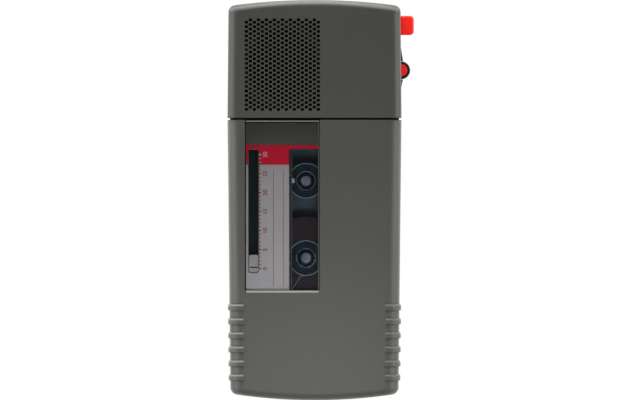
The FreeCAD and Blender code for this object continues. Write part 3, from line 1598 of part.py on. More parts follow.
def cassette_holder():
    """The holder under the door: two channels that the cassette slides into, and an end stop."""
    lip_top = cassette_base_z - seat_gap
    lip_low = lip_top - holder_lip_thickness
    left_outer = cassette_left - seat_gap - holder_wall
    right_inner = cassette_right + seat_gap
    right_outer = right_inner + holder_wall
    end_y = cassette_foot - seat_gap
    foot_y = end_y - holder_wall
    left_y = cassette_head - holder_reach
    right_y = opening_foot - holder_wall
    left = box(left_outer, left_outer + holder_wall, foot_y, left_y, lip_low, front_inner_z)
    left_lip = box(left_outer, cassette_left + holder_lip, foot_y, left_y, lip_low, lip_top)
    right = box(right_inner, right_outer, foot_y, right_y, lip_low, front_inner_z)
    right_lip = box(cassette_right - holder_lip, right_outer, foot_y, right_y, lip_low, lip_top)
    stop = box(left_outer, right_outer, foot_y, end_y, lip_low, front_inner_z)
    flange = window_plan(window_flange + seat_gap, front_inner_z - window_flange_height - seat_gap, depth)
    return carve(join(left, left_lip, right, right_lip, stop).common(lower_room()), flange)


def write_parts():
    """Writes one file for every piece."""
    pieces = (
        rear_shell, head_cover, speaker_grille, cassette_door, door_window, cassette_holder, hinge_pins,
        battery_door, case_screws, catch_springs,
        record_key, key_spring, record_switch, transport_slide, slide_grip, slide_grip_face, slide_switch,
        volume_wheel, volume_control, earphone_jack, main_board, board_parts,
        speaker_frame, speaker_cone, speaker_magnet, microphone, microphone_boot,
        battery_cells, battery_contacts, battery_springs,
        chassis_plate, drive_bushes, takeup_spindle, supply_spindle, flywheel, capstan_shaft, flywheel_bracket,
        motor, motor_pulley, drive_belt, idler_arm, idler_wheel, drive_pivots, pinch_arm, pinch_roller,
        record_head, erase_head, head_bracket,
        cassette_lower, cassette_upper, cassette_label, reel_window, index_pointer, takeup_hub, supply_hub,
        tape_pack, tape_run, guide_roller_foot, guide_roller_head, pressure_pad,
    )
    os.makedirs("parts", exist_ok=True)
    for piece in pieces:
        shape = piece()
        shape.exportStep("parts/" + piece.__name__ + ".step")
        print(piece.__name__, len(shape.Solids), round(shape.Volume, 1))
    print(len(pieces), "pieces")


write_parts()
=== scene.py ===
# %% [markdown]
# The recorder lies on its back on a pale table, seen from straight above, and the speaker end is
# at the top of the picture. Its solids arrive as a finished frame, with every piece already in
# its place. So this lesson starts by loading that frame, and then adds light, finishes and the
# thin printed pieces that a solid modeller leaves out.

# %% Load the recorder
import math

import bmesh
import bpy
from mathutils import Matrix, Vector


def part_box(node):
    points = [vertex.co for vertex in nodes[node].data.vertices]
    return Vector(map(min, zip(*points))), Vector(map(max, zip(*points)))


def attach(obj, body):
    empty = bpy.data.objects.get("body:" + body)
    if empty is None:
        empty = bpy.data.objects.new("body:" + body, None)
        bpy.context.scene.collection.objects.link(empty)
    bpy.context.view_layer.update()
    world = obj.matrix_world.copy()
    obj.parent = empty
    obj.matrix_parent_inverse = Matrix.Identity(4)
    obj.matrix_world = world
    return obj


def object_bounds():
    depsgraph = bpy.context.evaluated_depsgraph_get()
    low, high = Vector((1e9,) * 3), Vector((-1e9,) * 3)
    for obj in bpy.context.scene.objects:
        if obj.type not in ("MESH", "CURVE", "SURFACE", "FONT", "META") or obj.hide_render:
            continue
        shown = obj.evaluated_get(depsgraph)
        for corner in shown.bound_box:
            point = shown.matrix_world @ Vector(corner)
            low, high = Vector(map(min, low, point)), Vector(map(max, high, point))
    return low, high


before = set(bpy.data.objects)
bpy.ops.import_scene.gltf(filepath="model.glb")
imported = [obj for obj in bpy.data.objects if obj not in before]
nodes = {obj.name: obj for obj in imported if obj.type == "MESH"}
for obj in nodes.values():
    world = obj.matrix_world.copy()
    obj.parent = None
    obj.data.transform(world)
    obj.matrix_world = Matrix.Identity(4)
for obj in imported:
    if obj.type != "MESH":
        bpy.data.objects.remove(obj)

MM = 0.001
cad_bounds = [[float(v) for v in corner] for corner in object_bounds()]
size_mm = [(high - low) / MM for low, high in zip(*cad_bounds)]
print("nodes:", len(nodes), " size in mm:", [round(v, 1) for v in size_mm])

# %% [markdown]
# The camera looks straight down. A long lens far away keeps the sides of the casing upright, as a
# product photographer would have it. The casing fills the picture from top to bottom, so its
# known length gives the width of the view, and that gives the focal length.

# %% Camera
CASING_LENGTH = 0.144
CASING_LENGTH_PX = 400.1
CASING_MIDDLE_PX = (314.5, 200.1)
PICTURE_WIDTH_PX = 640
PICTURE_MIDDLE_PX = (320.0, 200.0)
CAMERA_HEIGHT = 5.0
RIM_HEIGHT = 0.022
SENSOR_WIDTH = 36.0

metres_per_pixel = CASING_LENGTH / CASING_LENGTH_PX
view_width = PICTURE_WIDTH_PX * metres_per_pixel
camera_data = bpy.data.cameras.new("camera")
camera_data.sensor_width = SENSOR_WIDTH
camera_data.lens = SENSOR_WIDTH * (CAMERA_HEIGHT - RIM_HEIGHT) / view_width
camera = bpy.data.objects.new("camera", camera_data)
camera.location = (
    (PICTURE_MIDDLE_PX[0] - CASING_MIDDLE_PX[0]) * metres_per_pixel,
    (CASING_MIDDLE_PX[1] - PICTURE_MIDDLE_PX[1]) * metres_per_pixel,
    CAMERA_HEIGHT,
)
bpy.context.scene.collection.objects.link(camera)
bpy.context.scene.camera = camera
bpy.context.scene.view_settings.view_transform = "Standard"
print("view width in mm:", round(view_width / MM, 1), " lens:", round(camera_data.lens, 1))

# %% [markdown]
# A room, a floor and a finish are all small graphs of nodes. These helpers keep the graphs short
# to write: each adds a node, feeds its inputs from sockets or plain values, and gives back the
# socket that comes out.

# %% Node helpers


def feed(tree, slot, operand):
    """Wires operand to slot if it is a socket, and writes it there if it is a value."""
    if isinstance(operand, bpy.types.NodeSocket):
        tree.links.new(operand, slot)
    elif isinstance(operand, (int, float)):
        slot.default_value = operand
    else:
        slot.default_value = (*operand, 1.0)


def add_math(tree, operation, first, second=0.0):
    """A Math node's result."""
    node = tree.nodes.new("ShaderNodeMath")
    node.operation = operation
    for slot, operand in zip(node.inputs, (first, second)):
        feed(tree, slot, operand)
    return node.outputs[0]


def multiply(tree, *factors):
    """The product of two or more sockets and numbers."""
    product = factors[0]
    for factor in factors[1:]:
        product = add_math(tree, "MULTIPLY", product, factor)
    return product


def add_range(tree, value, low, high, to_low, to_high, smooth=False):
    """A Map Range node's result, from low..high to to_low..to_high."""
    node = tree.nodes.new("ShaderNodeMapRange")
    node.interpolation_type = "SMOOTHSTEP" if smooth else "LINEAR"
    keys = ("Value", "From Min", "From Max", "To Min", "To Max")
    for key, operand in zip(keys, (value, low, high, to_low, to_high)):
        feed(tree, node.inputs[key], operand)
    return node.outputs[0]


def add_mix(tree, share, first, second):
    """A mix of two colours."""
    node = tree.nodes.new("ShaderNodeMix")
    node.data_type = "RGBA"
    for slot, operand in ((0, share), (6, first), (7, second)):
        feed(tree, node.inputs[slot], operand)
    return node.outputs[2]


# %% [markdown]
# A white room is the simplest studio. Where the camera or a reflection looks straight at it, its
# walls are white, and its ceiling is grey, so that the flat front of the casing mirrors little.
# As a source of light it is much weaker, so that a colour renders about as it is written. The
# Light Path node tells the two kinds of ray apart: once a ray has left a matt surface, it carries
# light. The wall beyond the foot is shaded for every ray but the camera's, like a black card in a
# studio, and that darkens the rounding of the foot.

# %% White room
ROOM_LIGHT = 0.25
CEILING_SHARE = 0.3
CEILING_HEIGHTS = (0.35, 0.85)
FOOT_WALL_SHARE = 0.15
FOOT_WALL_REACH = (-0.8, -0.2)


def seen_directly(tree):
    """1 for rays that look from the camera, a mirror or glass, and 0 for rays that carry light."""
    path = tree.nodes.new("ShaderNodeLightPath").outputs
    looks = add_math(tree, "MAXIMUM", path["Is Camera Ray"], path["Is Glossy Ray"])
    looks = add_math(tree, "MAXIMUM", looks, path["Is Transmission Ray"])
    return multiply(tree, looks, add_math(tree, "LESS_THAN", path["Diffuse Depth"], 0.5))


world = bpy.data.worlds.new("white_room")
world.use_nodes = True
bpy.context.scene.world = world
room_tree = world.node_tree
room_tree.nodes.clear()
direction = room_tree.nodes.new("ShaderNodeSeparateXYZ")
room_places = room_tree.nodes.new("ShaderNodeTexCoord")
room_tree.links.new(room_places.outputs["Generated"], direction.inputs[0])
room_strength = add_range(room_tree, seen_directly(room_tree), 0.0, 1.0, ROOM_LIGHT, 1.0)
ceiling = add_range(room_tree, direction.outputs[2], *CEILING_HEIGHTS, 1.0, CEILING_SHARE, True)
foot_wall = add_range(room_tree, direction.outputs[1], *FOOT_WALL_REACH,
                      FOOT_WALL_SHARE, 1.0, True)
camera_ray = room_tree.nodes.new("ShaderNodeLightPath").outputs["Is Camera Ray"]
foot_shade = add_math(room_tree, "MAXIMUM", foot_wall, camera_ray)
room_glow = room_tree.nodes.new("ShaderNodeBackground")
room_glow.inputs["Color"].default_value = (1, 1, 1, 1)
room_tree.links.new(multiply(room_tree, room_strength, ceiling, foot_shade),
                    room_glow.inputs["Strength"])
room_out = room_tree.nodes.new("ShaderNodeOutputWorld")
room_tree.links.new(room_glow.outputs[0], room_out.inputs["Surface"])
print("room light:", ROOM_LIGHT, " ceiling share:", CEILING_SHARE)

# %% [markdown]
# The floor is a big pale sheet just under the casing. It shows white to the camera as the walls
# do, and keeps a little plain paint, so that it still takes a soft shadow.

# %% Floor
FLOOR_SIZE = 6.0
FLOOR_GAP = 0.0002
FLOOR_GLOW = 0.95
FLOOR_LIGHT = 0.8
FLOOR_PAINT = 0.86

floor_mesh = bpy.data.meshes.new("floor")
sheet = bmesh.new()
bmesh.ops.create_grid(sheet, x_segments=1, y_segments=1, size=FLOOR_SIZE / 2)
bmesh.ops.translate(sheet, verts=sheet.verts, vec=(0, 0, cad_bounds[0][2] - FLOOR_GAP))
sheet.to_mesh(floor_mesh)
sheet.free()
floor = bpy.data.objects.new("floor", floor_mesh)
bpy.context.scene.collection.objects.link(floor)

pale_sheet = bpy.data.materials.new("pale_sheet")
pale_sheet.use_nodes = True
floor_tree = pale_sheet.node_tree
floor_tree.nodes.clear()
floor_paint = floor_tree.nodes.new("ShaderNodeBsdfDiffuse")
feed(floor_tree, floor_paint.inputs["Color"], (FLOOR_PAINT,) * 3)
floor_light = floor_tree.nodes.new("ShaderNodeEmission")
floor_light.inputs["Strength"].default_value = FLOOR_LIGHT
floor_glow = floor_tree.nodes.new("ShaderNodeEmission")
floor_glow.inputs["Color"].default_value = (1, 1, 1, 1)
floor_lit = floor_tree.nodes.new("ShaderNodeAddShader")
floor_mix = floor_tree.nodes.new("ShaderNodeMixShader")
floor_out = floor_tree.nodes.new("ShaderNodeOutputMaterial")
floor_seen = multiply(floor_tree, seen_directly(floor_tree), FLOOR_GLOW)
for source, target in ((floor_paint.outputs[0], floor_lit.inputs[0]),
                       (floor_light.outputs[0], floor_lit.inputs[1]),
                       (floor_seen, floor_mix.inputs[0]),
                       (floor_lit.outputs[0], floor_mix.inputs[1]),
                       (floor_glow.outputs[0], floor_mix.inputs[2]),
                       (floor_mix.outputs[0], floor_out.inputs["Surface"])):
    floor_tree.links.new(source, target)
floor_mesh.materials.append(pale_sheet)
print("floor side in m:", FLOOR_SIZE)

# %% [markdown]
# Four soft boxes shape the casing. A small one hangs just above the foot end, because the front
# gets brighter towards the foot. A large one beyond the head end rakes over the front, and two at
# the sides light the long shoulders. Their powers were found by rendering each box by itself and
# mixing the pictures until the front had the photograph's tones. The first two are left out of
# reflections, because a low view along the front would mirror them as one white glare. For the
# same reason the second isn't seen through glass.

# %% Soft boxes


def soft_box(name, place, target, width, power):
    """A square area lamp at place that faces target."""
    data = bpy.data.lights.new(name, "AREA")
    data.size = width
    data.energy = power
    lamp = bpy.data.objects.new(name, data)
    lamp.location = place
    aim = Vector(target) - Vector(place)
    lamp.rotation_euler = aim.to_track_quat("-Z", "Y").to_euler()
    lamp.visible_camera = False
    bpy.context.scene.collection.objects.link(lamp)
    return lamp


foot_box = soft_box("foot_box", (0, -0.078, 0.138), (0, -0.074, 0), 0.08, 0.083)
head_box = soft_box("head_box", (-0.05, 0.6, 0.1), (0, 0.06, 0), 0.4, 4.9)
left_box = soft_box("left_box", (-0.7, 0.0, 0.14), (0, 0, 0), 0.5, 1.35)
right_box = soft_box("right_box", (0.7, 0.0, 0.14), (0, 0, 0), 0.5, 1.15)
foot_box.visible_glossy = False
head_box.visible_glossy = False
head_box.visible_transmission = False
print("watts:", [round(o.data.energy, 3) for o in (foot_box, head_box, left_box, right_box)])

# %% [markdown]
# An effect that several finishes share is built once, as a node group with named inputs and
# outputs. It can be thought of as a small machine that a material plugs in. These helpers start
# such a group, and read the two things that most groups need: a place on the piece, and a noise.

# %% Group helpers


def start_group(name, inputs, outputs):
    """A new shader node group with the given sockets; returns it with its in and out nodes."""
    group = bpy.data.node_groups.new(name, "ShaderNodeTree")
    for socket_name, kind, value in inputs:
        socket = group.interface.new_socket(socket_name, in_out="INPUT", socket_type=kind)
        if value is not None:
            socket.default_value = value
    for socket_name, kind in outputs:
        group.interface.new_socket(socket_name, in_out="OUTPUT", socket_type=kind)
    return group, group.nodes.new("NodeGroupInput"), group.nodes.new("NodeGroupOutput")


def object_point(tree):
    """The piece's own coordinates, in metres."""
    return tree.nodes.new("ShaderNodeTexCoord").outputs["Object"]


def object_axes(tree):
    """The X, Y and Z of the piece's own coordinates, as three sockets."""
    axes = tree.nodes.new("ShaderNodeSeparateXYZ")
    tree.links.new(object_point(tree), axes.inputs[0])
    return tuple(axes.outputs)


def add_noise(tree, vector, scale, detail=3.0, roughness=0.5):
    """A Noise texture's value, read at vector."""
    node = tree.nodes.new("ShaderNodeTexNoise")
    node.inputs["Detail"].default_value = detail
    node.inputs["Roughness"].default_value = roughness
    tree.links.new(vector, node.inputs["Vector"])
    feed(tree, node.inputs["Scale"], scale)
    return node.outputs["Fac"]


# %% [markdown]
# Moulded plastic is never quite even. Its mould leaves a fine grain, its colour drifts a little
# from place to place, and its gloss drifts with it. All of that is one effect with different
# amounts, so it is built once as a node group, and each material gives it its own values. The
# group also softens the look of sharp edges, which no mould leaves truly sharp. Blender's noise
# stays mostly between 0.3 and 0.7, so that is the range that the amounts are spread over.

# %% Moulded surface group
NOISE_RANGE = (0.3, 0.7)
BROAD_SCALE = 45.0
GLOSS_DRIFT = (-0.04, 0.05)
GLOSS_GRAIN = (-0.03, 0.03)
GRAIN_STRENGTH = 0.6
EDGE_SAMPLES = 6

moulded, moulded_in, moulded_out = start_group(
    "moulded_surface",
    [("Colour", "NodeSocketColor", (0.1, 0.1, 0.1, 1)), ("Drift", "NodeSocketFloat", 0.08),
     ("Roughness", "NodeSocketFloat", 0.45), ("Grain Scale", "NodeSocketFloat", 2600.0),
     ("Grain Depth", "NodeSocketFloat", 0.00002), ("Edge", "NodeSocketFloat", 0.0003)],
    [("Colour", "NodeSocketColor"), ("Roughness", "NodeSocketFloat"),
     ("Normal", "NodeSocketVector")],
)
point = object_point(moulded)
broad = add_noise(moulded, point, BROAD_SCALE, 4.0, 0.6)
fine = add_noise(moulded, point, moulded_in.outputs["Grain Scale"], 3.0, 0.6)
half_drift = multiply(moulded, moulded_in.outputs["Drift"], 0.5)
dark_share = add_math(moulded, "SUBTRACT", 1.0, half_drift)
pale_share = add_math(moulded, "ADD", 1.0, half_drift)
tone = add_range(moulded, broad, *NOISE_RANGE, dark_share, pale_share)
speck = add_range(moulded, fine, *NOISE_RANGE, dark_share, pale_share)
tint = moulded.nodes.new("ShaderNodeVectorMath")
tint.operation = "SCALE"
moulded.links.new(moulded_in.outputs["Colour"], tint.inputs[0])
moulded.links.new(multiply(moulded, tone, speck), tint.inputs["Scale"])
moulded.links.new(tint.outputs[0], moulded_out.inputs["Colour"])
gloss = add_math(moulded, "ADD", add_range(moulded, broad, *NOISE_RANGE, *GLOSS_DRIFT),
                 add_range(moulded, fine, *NOISE_RANGE, *GLOSS_GRAIN))
rough_sum = add_math(moulded, "ADD", moulded_in.outputs["Roughness"], gloss)
moulded.links.new(rough_sum, moulded_out.inputs["Roughness"])
grain_bump = moulded.nodes.new("ShaderNodeBump")
grain_bump.inputs["Strength"].default_value = GRAIN_STRENGTH
moulded.links.new(moulded_in.outputs["Grain Depth"], grain_bump.inputs["Distance"])
moulded.links.new(fine, grain_bump.inputs["Height"])
soft_edge = moulded.nodes.new("ShaderNodeBevel")
soft_edge.samples = EDGE_SAMPLES
moulded.links.new(moulded_in.outputs["Edge"], soft_edge.inputs["Radius"])
moulded.links.new(soft_edge.outputs[0], grain_bump.inputs["Normal"])
moulded.links.new(grain_bump.outputs[0], moulded_out.inputs["Normal"])
print("moulded surface:", len(moulded.nodes), "nodes")

# %% [markdown]
# Years in a hand and a pocket polish the long sides of such a recorder. A second group says how
# much of a point is rubbed: it grows over the shoulders towards the sides, and a soft noise
# breaks it up. The material then mixes a paler, smoother plastic in by that share.

# %% Handling wear group
WEAR_FADE = 0.0018
SCUFF_SCALE = 260.0
SCUFF_RANGE = (0.3, 0.65)
SCUFF_LEAST = 0.75

wear, wear_in, wear_out = start_group(
    "handling_wear",
    [("Side", "NodeSocketFloat", 0.029), ("Amount", "NodeSocketFloat", 0.5)],
    [("Share", "NodeSocketFloat")],
)
to_side = add_math(wear, "ABSOLUTE", object_axes(wear)[0])
side_reach = add_math(wear, "SUBTRACT", to_side, wear_in.outputs["Side"])
near_side = add_range(wear, side_reach, 0.0, WEAR_FADE, 0.0, 1.0, True)
scuffs = add_noise(wear, object_point(wear), SCUFF_SCALE, 5.0, 0.65)
broken = add_range(wear, scuffs, *SCUFF_RANGE, SCUFF_LEAST, 1.0, True)
wear.links.new(multiply(wear, near_side, broken, wear_in.outputs["Amount"]),
               wear_out.inputs["Share"])
print("handling wear:", len(wear.nodes), "nodes")

# %% [markdown]
# A lathe leaves rings round the axis of a turned piece. A one-dimensional noise read at the
# distance from the axis gives such rings, as a drift of the gloss and as a very fine bump.

# %% Turned metal group
RING_SCALE = 4500.0
RING_GLOSS = (-0.08, 0.1)
RING_STRENGTH = 0.35
RING_DEPTH = 0.00002


def reach_from_axis(tree, centre):
    """How far a point is from the upright axis through centre, a socket or a place."""
    offset, flat, length = (tree.nodes.new("ShaderNodeVectorMath") for _ in range(3))
    offset.operation = "SUBTRACT"
    tree.links.new(object_point(tree), offset.inputs[0])
    if isinstance(centre, bpy.types.NodeSocket):
        tree.links.new(centre, offset.inputs[1])
    else:
        offset.inputs[1].default_value = centre
    flat.operation = "MULTIPLY"
    flat.inputs[1].default_value = (1, 1, 0)
    tree.links.new(offset.outputs[0], flat.inputs[0])
    length.operation = "LENGTH"
    tree.links.new(flat.outputs[0], length.inputs[0])
    return length.outputs["Value"]


turned, turned_in, turned_out = start_group(
    "turned_metal",
    [("Centre", "NodeSocketVector", None), ("Roughness", "NodeSocketFloat", 0.25)],
    [("Roughness", "NodeSocketFloat"), ("Normal", "NodeSocketVector")],
)
rings = turned.nodes.new("ShaderNodeTexNoise")
rings.noise_dimensions = "1D"
rings.inputs["Scale"].default_value = RING_SCALE
turned.links.new(reach_from_axis(turned, turned_in.outputs["Centre"]), rings.inputs["W"])
ring_gloss = add_range(turned, rings.outputs["Fac"], *NOISE_RANGE, *RING_GLOSS)
ring_rough = add_math(turned, "ADD", turned_in.outputs["Roughness"], ring_gloss)
turned.links.new(ring_rough, turned_out.inputs["Roughness"])
ring_bump = turned.nodes.new("ShaderNodeBump")
ring_bump.inputs["Strength"].default_value = RING_STRENGTH
ring_bump.inputs["Distance"].default_value = RING_DEPTH
turned.links.new(rings.outputs["Fac"], ring_bump.inputs["Height"])
turned.links.new(ring_bump.outputs[0], turned_out.inputs["Normal"])
print("turned metal:", len(turned.nodes), "nodes")

# %% [markdown]
# Each material is a Principled shader fed by one of the groups. Colours are written here as they
# look on screen, from 0 to 255, and turned into the linear values that the renderer works with.
# A finished material can be painted over: one more colour is mixed on top of its own by a share.

# %% Material helpers


def screen_colour(red, green, blue):
    """A colour as it looks on screen, as linear values."""
    linear = []
    for level in (red, green, blue):
        share = level / 255
        linear.append(share / 12.92 if share <= 0.04045 else ((share + 0.055) / 1.055) ** 2.4)
    return tuple(linear)


def start_material(name):
    """A material with a Principled shader wired to its output."""
    made = bpy.data.materials.new(name)
    made.use_nodes = True
    tree = made.node_tree
    tree.nodes.clear()
    shader = tree.nodes.new("ShaderNodeBsdfPrincipled")
    out = tree.nodes.new("ShaderNodeOutputMaterial")
    tree.links.new(shader.outputs[0], out.inputs["Surface"])
    return made, tree, shader


def place_group(tree, group, **values):
    """A node of the group with its named inputs set; underscores stand for spaces."""
    node = tree.nodes.new("ShaderNodeGroup")
    node.node_tree = group
    for key, value in values.items():
        node.inputs[key.replace("_", " ")].default_value = value
    return node


def shader_of(made):
    """The Principled shader of a finished material."""
    return next(n for n in made.node_tree.nodes if n.type == "BSDF_PRINCIPLED")


def paint_over(made, share, tone):
    """Mixes one more colour over a finished material's own, by share."""
    colour_slot = shader_of(made).inputs["Base Color"]
    own = colour_slot.links[0].from_socket
    painted = add_mix(made.node_tree, share, own, screen_colour(*tone))
    made.node_tree.links.new(painted, colour_slot)


def dress(made, *names):
    """Gives the material to each of these nodes of the frame."""
    for name in names:
        for slot in nodes[name].material_slots:
            slot.material = made
    print(made.name, "on", ", ".join(names))


# %% [markdown]
# Nearly everything here is moulded plastic or metal, so each of the two gets one function, and
# every finish is a call of it with its own colour, gloss and grain. Rubbed plastic is paler, and
# smoother too. On metal, the moulded group only lends its uneven colour.

# %% Plastic and metal
WORN_GLOSS = 0.2


def plastic(name, tone, roughness=0.45, drift=0.08, grain=2600.0, depth=0.00002, shine=0.5,
            worn=0.0, worn_tone=None, edge=0.0003):
    """Moulded plastic; worn above 0 adds rubbed sides in a paler tone."""
    made, tree, shader = start_material(name)
    shader.inputs["Specular IOR Level"].default_value = shine
    surface = place_group(tree, moulded, Colour=(*screen_colour(*tone), 1), Drift=drift,
                          Roughness=roughness, Grain_Scale=grain, Grain_Depth=depth, Edge=edge)
    colour_socket = surface.outputs["Colour"]
    rough_socket = surface.outputs["Roughness"]
    if worn > 0:
        rubbed = place_group(tree, wear, Amount=worn).outputs["Share"]
        colour_socket = add_mix(tree, rubbed, colour_socket, screen_colour(*worn_tone))
        smoothed = multiply(tree, rubbed, WORN_GLOSS)
        rough_socket = add_math(tree, "SUBTRACT", rough_socket, smoothed)
    tree.links.new(colour_socket, shader.inputs["Base Color"])
    tree.links.new(rough_socket, shader.inputs["Roughness"])
    tree.links.new(surface.outputs["Normal"], shader.inputs["Normal"])
    return made


def metal(name, tone, roughness, centre=(0, 0, 0)):
    """Turned or rolled metal with fine rings round centre."""
    made, tree, shader = start_material(name)
    shader.inputs["Metallic"].default_value = 1.0
    surface = place_group(tree, turned, Centre=centre, Roughness=roughness)
    tint = place_group(tree, moulded, Colour=(*screen_colour(*tone), 1), Drift=0.12,
                       Grain_Scale=900.0)
    tree.links.new(tint.outputs["Colour"], shader.inputs["Base Color"])
    tree.links.new(surface.outputs["Roughness"], shader.inputs["Roughness"])
    tree.links.new(surface.outputs["Normal"], shader.inputs["Normal"])
    return made


# %% [markdown]
# The casing is one dark warm grey, in three mouldings: the door, the speaker end and the back.
# The shoulders of the door are rubbed the palest, because the hand holds it there.

# %% Casing plastics
door_shell = plastic("door_shell", (92, 93, 88), 0.38, 0.04, 3200.0, 0.000012,
                     worn=0.7, worn_tone=(124, 125, 119))
head_shell = plastic("head_shell", (89, 90, 85), 0.38, 0.04, 3200.0, 0.000012,
                     worn=0.25, worn_tone=(110, 110, 106), edge=0.00004)
back_shell = plastic("back_shell", (90, 91, 86), 0.46, 0.05, 3200.0, 0.000016,
                     worn=0.4, worn_tone=(112, 113, 108))
dress(door_shell, "cassette_door")
dress(head_shell, "head_cover", "speaker_grille")
dress(back_shell, "rear_shell", "battery_door")

# %% [markdown]
# Six grip ribs wrap round each shoulder of the door. A pale line is painted along the upper edge
# of each rib as a painted highlight, and dark lines above and below it are painted shade. The ribs
# repeat at an even pitch, so the fraction of a division by that pitch tells how far a point is
# below its rib's top edge. A group turns that into two masks, and the painted highlight is
# stronger on the left ribs than on the right, where less light falls.

# %% Rib highlight and shade group
RIB_FIRST_Y = -0.03724
RIB_PITCH = 0.00505
RIB_COUNT = 6
RIB_LEAD = 0.0004
RIB_START_X = 0.0254
RIB_SIDE_FADE = 0.0006
MIDDLE_FADE = 0.001
PAINTED_HIGHLIGHT_LINE = (0.00038, 0.00092, 0.00012)
UPPER_PAINTED_SHADE = (-0.00028, 0.00008, 0.0001)
LOWER_PAINTED_SHADE = (0.00262, 0.00296, 0.0001)
PAINTED_SHADE_SHARE = 0.5

ribs_group, ribs_in, ribs_out = start_group(
    "rib_highlight_and_shade", [("Left", "NodeSocketFloat", 0.9), ("Right", "NodeSocketFloat", 0.35)],
    [("Pale", "NodeSocketFloat"), ("Dark", "NodeSocketFloat")],
)
rib_x, rib_y = object_axes(ribs_group)[:2]
down_door = add_math(ribs_group, "SUBTRACT", RIB_FIRST_Y + RIB_LEAD, rib_y)
ribs_down = add_math(ribs_group, "DIVIDE", down_door, RIB_PITCH)
along_pitch = add_math(ribs_group, "FRACT", ribs_down)
below_first = add_math(ribs_group, "GREATER_THAN", ribs_down, 0.0)
above_last = add_math(ribs_group, "LESS_THAN", ribs_down, float(RIB_COUNT))
on_shoulder = add_range(ribs_group, add_math(ribs_group, "ABSOLUTE", rib_x),
                        RIB_START_X, RIB_START_X + RIB_SIDE_FADE, 0.0, 1.0, True)
rib_place = multiply(ribs_group, below_first, above_last, on_shoulder)
side_share = add_range(ribs_group, rib_x, -MIDDLE_FADE, MIDDLE_FADE,
                       ribs_in.outputs["Left"], ribs_in.outputs["Right"])


def rib_line(start, end, fade):
    """1 between two heights below a rib's top edge, in metres, with soft ends."""
    soft = fade / RIB_PITCH
    low, high = (start + RIB_LEAD) / RIB_PITCH, (end + RIB_LEAD) / RIB_PITCH
    rise = add_range(ribs_group, along_pitch, low - soft, low + soft, 0.0, 1.0, True)
    fall = add_range(ribs_group, along_pitch, high - soft, high + soft, 1.0, 0.0, True)
    return multiply(ribs_group, rise, fall, rib_place)


painted_highlight = multiply(ribs_group, rib_line(*PAINTED_HIGHLIGHT_LINE), side_share)
painted_shade = add_math(ribs_group, "MAXIMUM", rib_line(*UPPER_PAINTED_SHADE), rib_line(*LOWER_PAINTED_SHADE))
ribs_group.links.new(painted_highlight, ribs_out.inputs["Pale"])
ribs_group.links.new(painted_shade, ribs_out.inputs["Dark"])
rib_lines = place_group(door_shell.node_tree, ribs_group).outputs
# Painted highlight on the rib crests, then painted shade above and below them.
paint_over(door_shell, rib_lines["Pale"], (158, 158, 153))
paint_over(door_shell, multiply(door_shell.node_tree, rib_lines["Dark"], PAINTED_SHADE_SHARE), (52, 52, 48))
print("ribs:", RIB_COUNT, " pitch in mm:", RIB_PITCH / MM)

# %% [markdown]
# The front edge of the speaker end gets a painted highlight, a bright line along the rounding.
# That end is bowed, so the distance from it is the Y coordinate plus a bow that grows with the
# square of X. The line is kept to the front by the height.

# %% Head edge
END_BOW = 2.87
EDGE_RISE = (-0.0020, -0.0011)
EDGE_FALL = (-0.0006, 0.0)
EDGE_LAST_SHARE = 0.25
EDGE_HEIGHTS = (0.0250, 0.0260)
EDGE_HIGHLIGHT_AMOUNT = 0.85
edge_tree = head_shell.node_tree
edge_x, edge_y, edge_z = object_axes(edge_tree)
bowed = add_math(edge_tree, "ADD", edge_y, multiply(edge_tree, edge_x, edge_x, END_BOW))
from_end = add_math(edge_tree, "SUBTRACT", bowed, CASING_LENGTH / 2)
edge_rise = add_range(edge_tree, from_end, *EDGE_RISE, 0.0, 1.0, True)
edge_fall = add_range(edge_tree, from_end, *EDGE_FALL, 1.0, EDGE_LAST_SHARE, True)
front_only = add_range(edge_tree, edge_z, *EDGE_HEIGHTS, 0.0, EDGE_HIGHLIGHT_AMOUNT, True)
# Painted highlight along the head's front edge.
paint_over(head_shell, multiply(edge_tree, edge_rise, edge_fall, front_only), (140, 141, 136))
print("edge line width in mm:", round((EDGE_FALL[1] - EDGE_RISE[0]) / MM, 2))

# %% [markdown]
# The record key and the face of the grip are signal red, and look brighter than anything around
# them. A little scattering below the surface gives some of that, and the rest is painted light: a
# glow of its own, though the key is no lamp.

# %% Controls
RED_PAINTED_GLOW = 0.4
RED_SCATTER = 0.3
RED_SCATTER_DEPTH = 0.003
soft_black = plastic("soft_black", (26, 25, 25), 0.5, 0.1, 2200.0)
signal_red = plastic("signal_red", (255, 44, 36), 0.26, 0.03, 1800.0, 0.000006, 0.6)
red_inputs = shader_of(signal_red).inputs
red_inputs["Subsurface Weight"].default_value = RED_SCATTER
red_inputs["Subsurface Scale"].default_value = RED_SCATTER_DEPTH
# Painted light: the red plastic glows by itself.
red_inputs["Emission Color"].default_value = (*screen_colour(255, 24, 16), 1)
red_inputs["Emission Strength"].default_value = RED_PAINTED_GLOW
dress(soft_black, "transport_slide", "slide_grip", "volume_wheel", "cassette_holder")
dress(signal_red, "record_key", "slide_grip_face")

# %% [markdown]
# A cassette is moulded in thin smoky plastic with little shine. Its tape is a dark brown film,
# wound tight, and the pad that presses the tape on the head is felt.

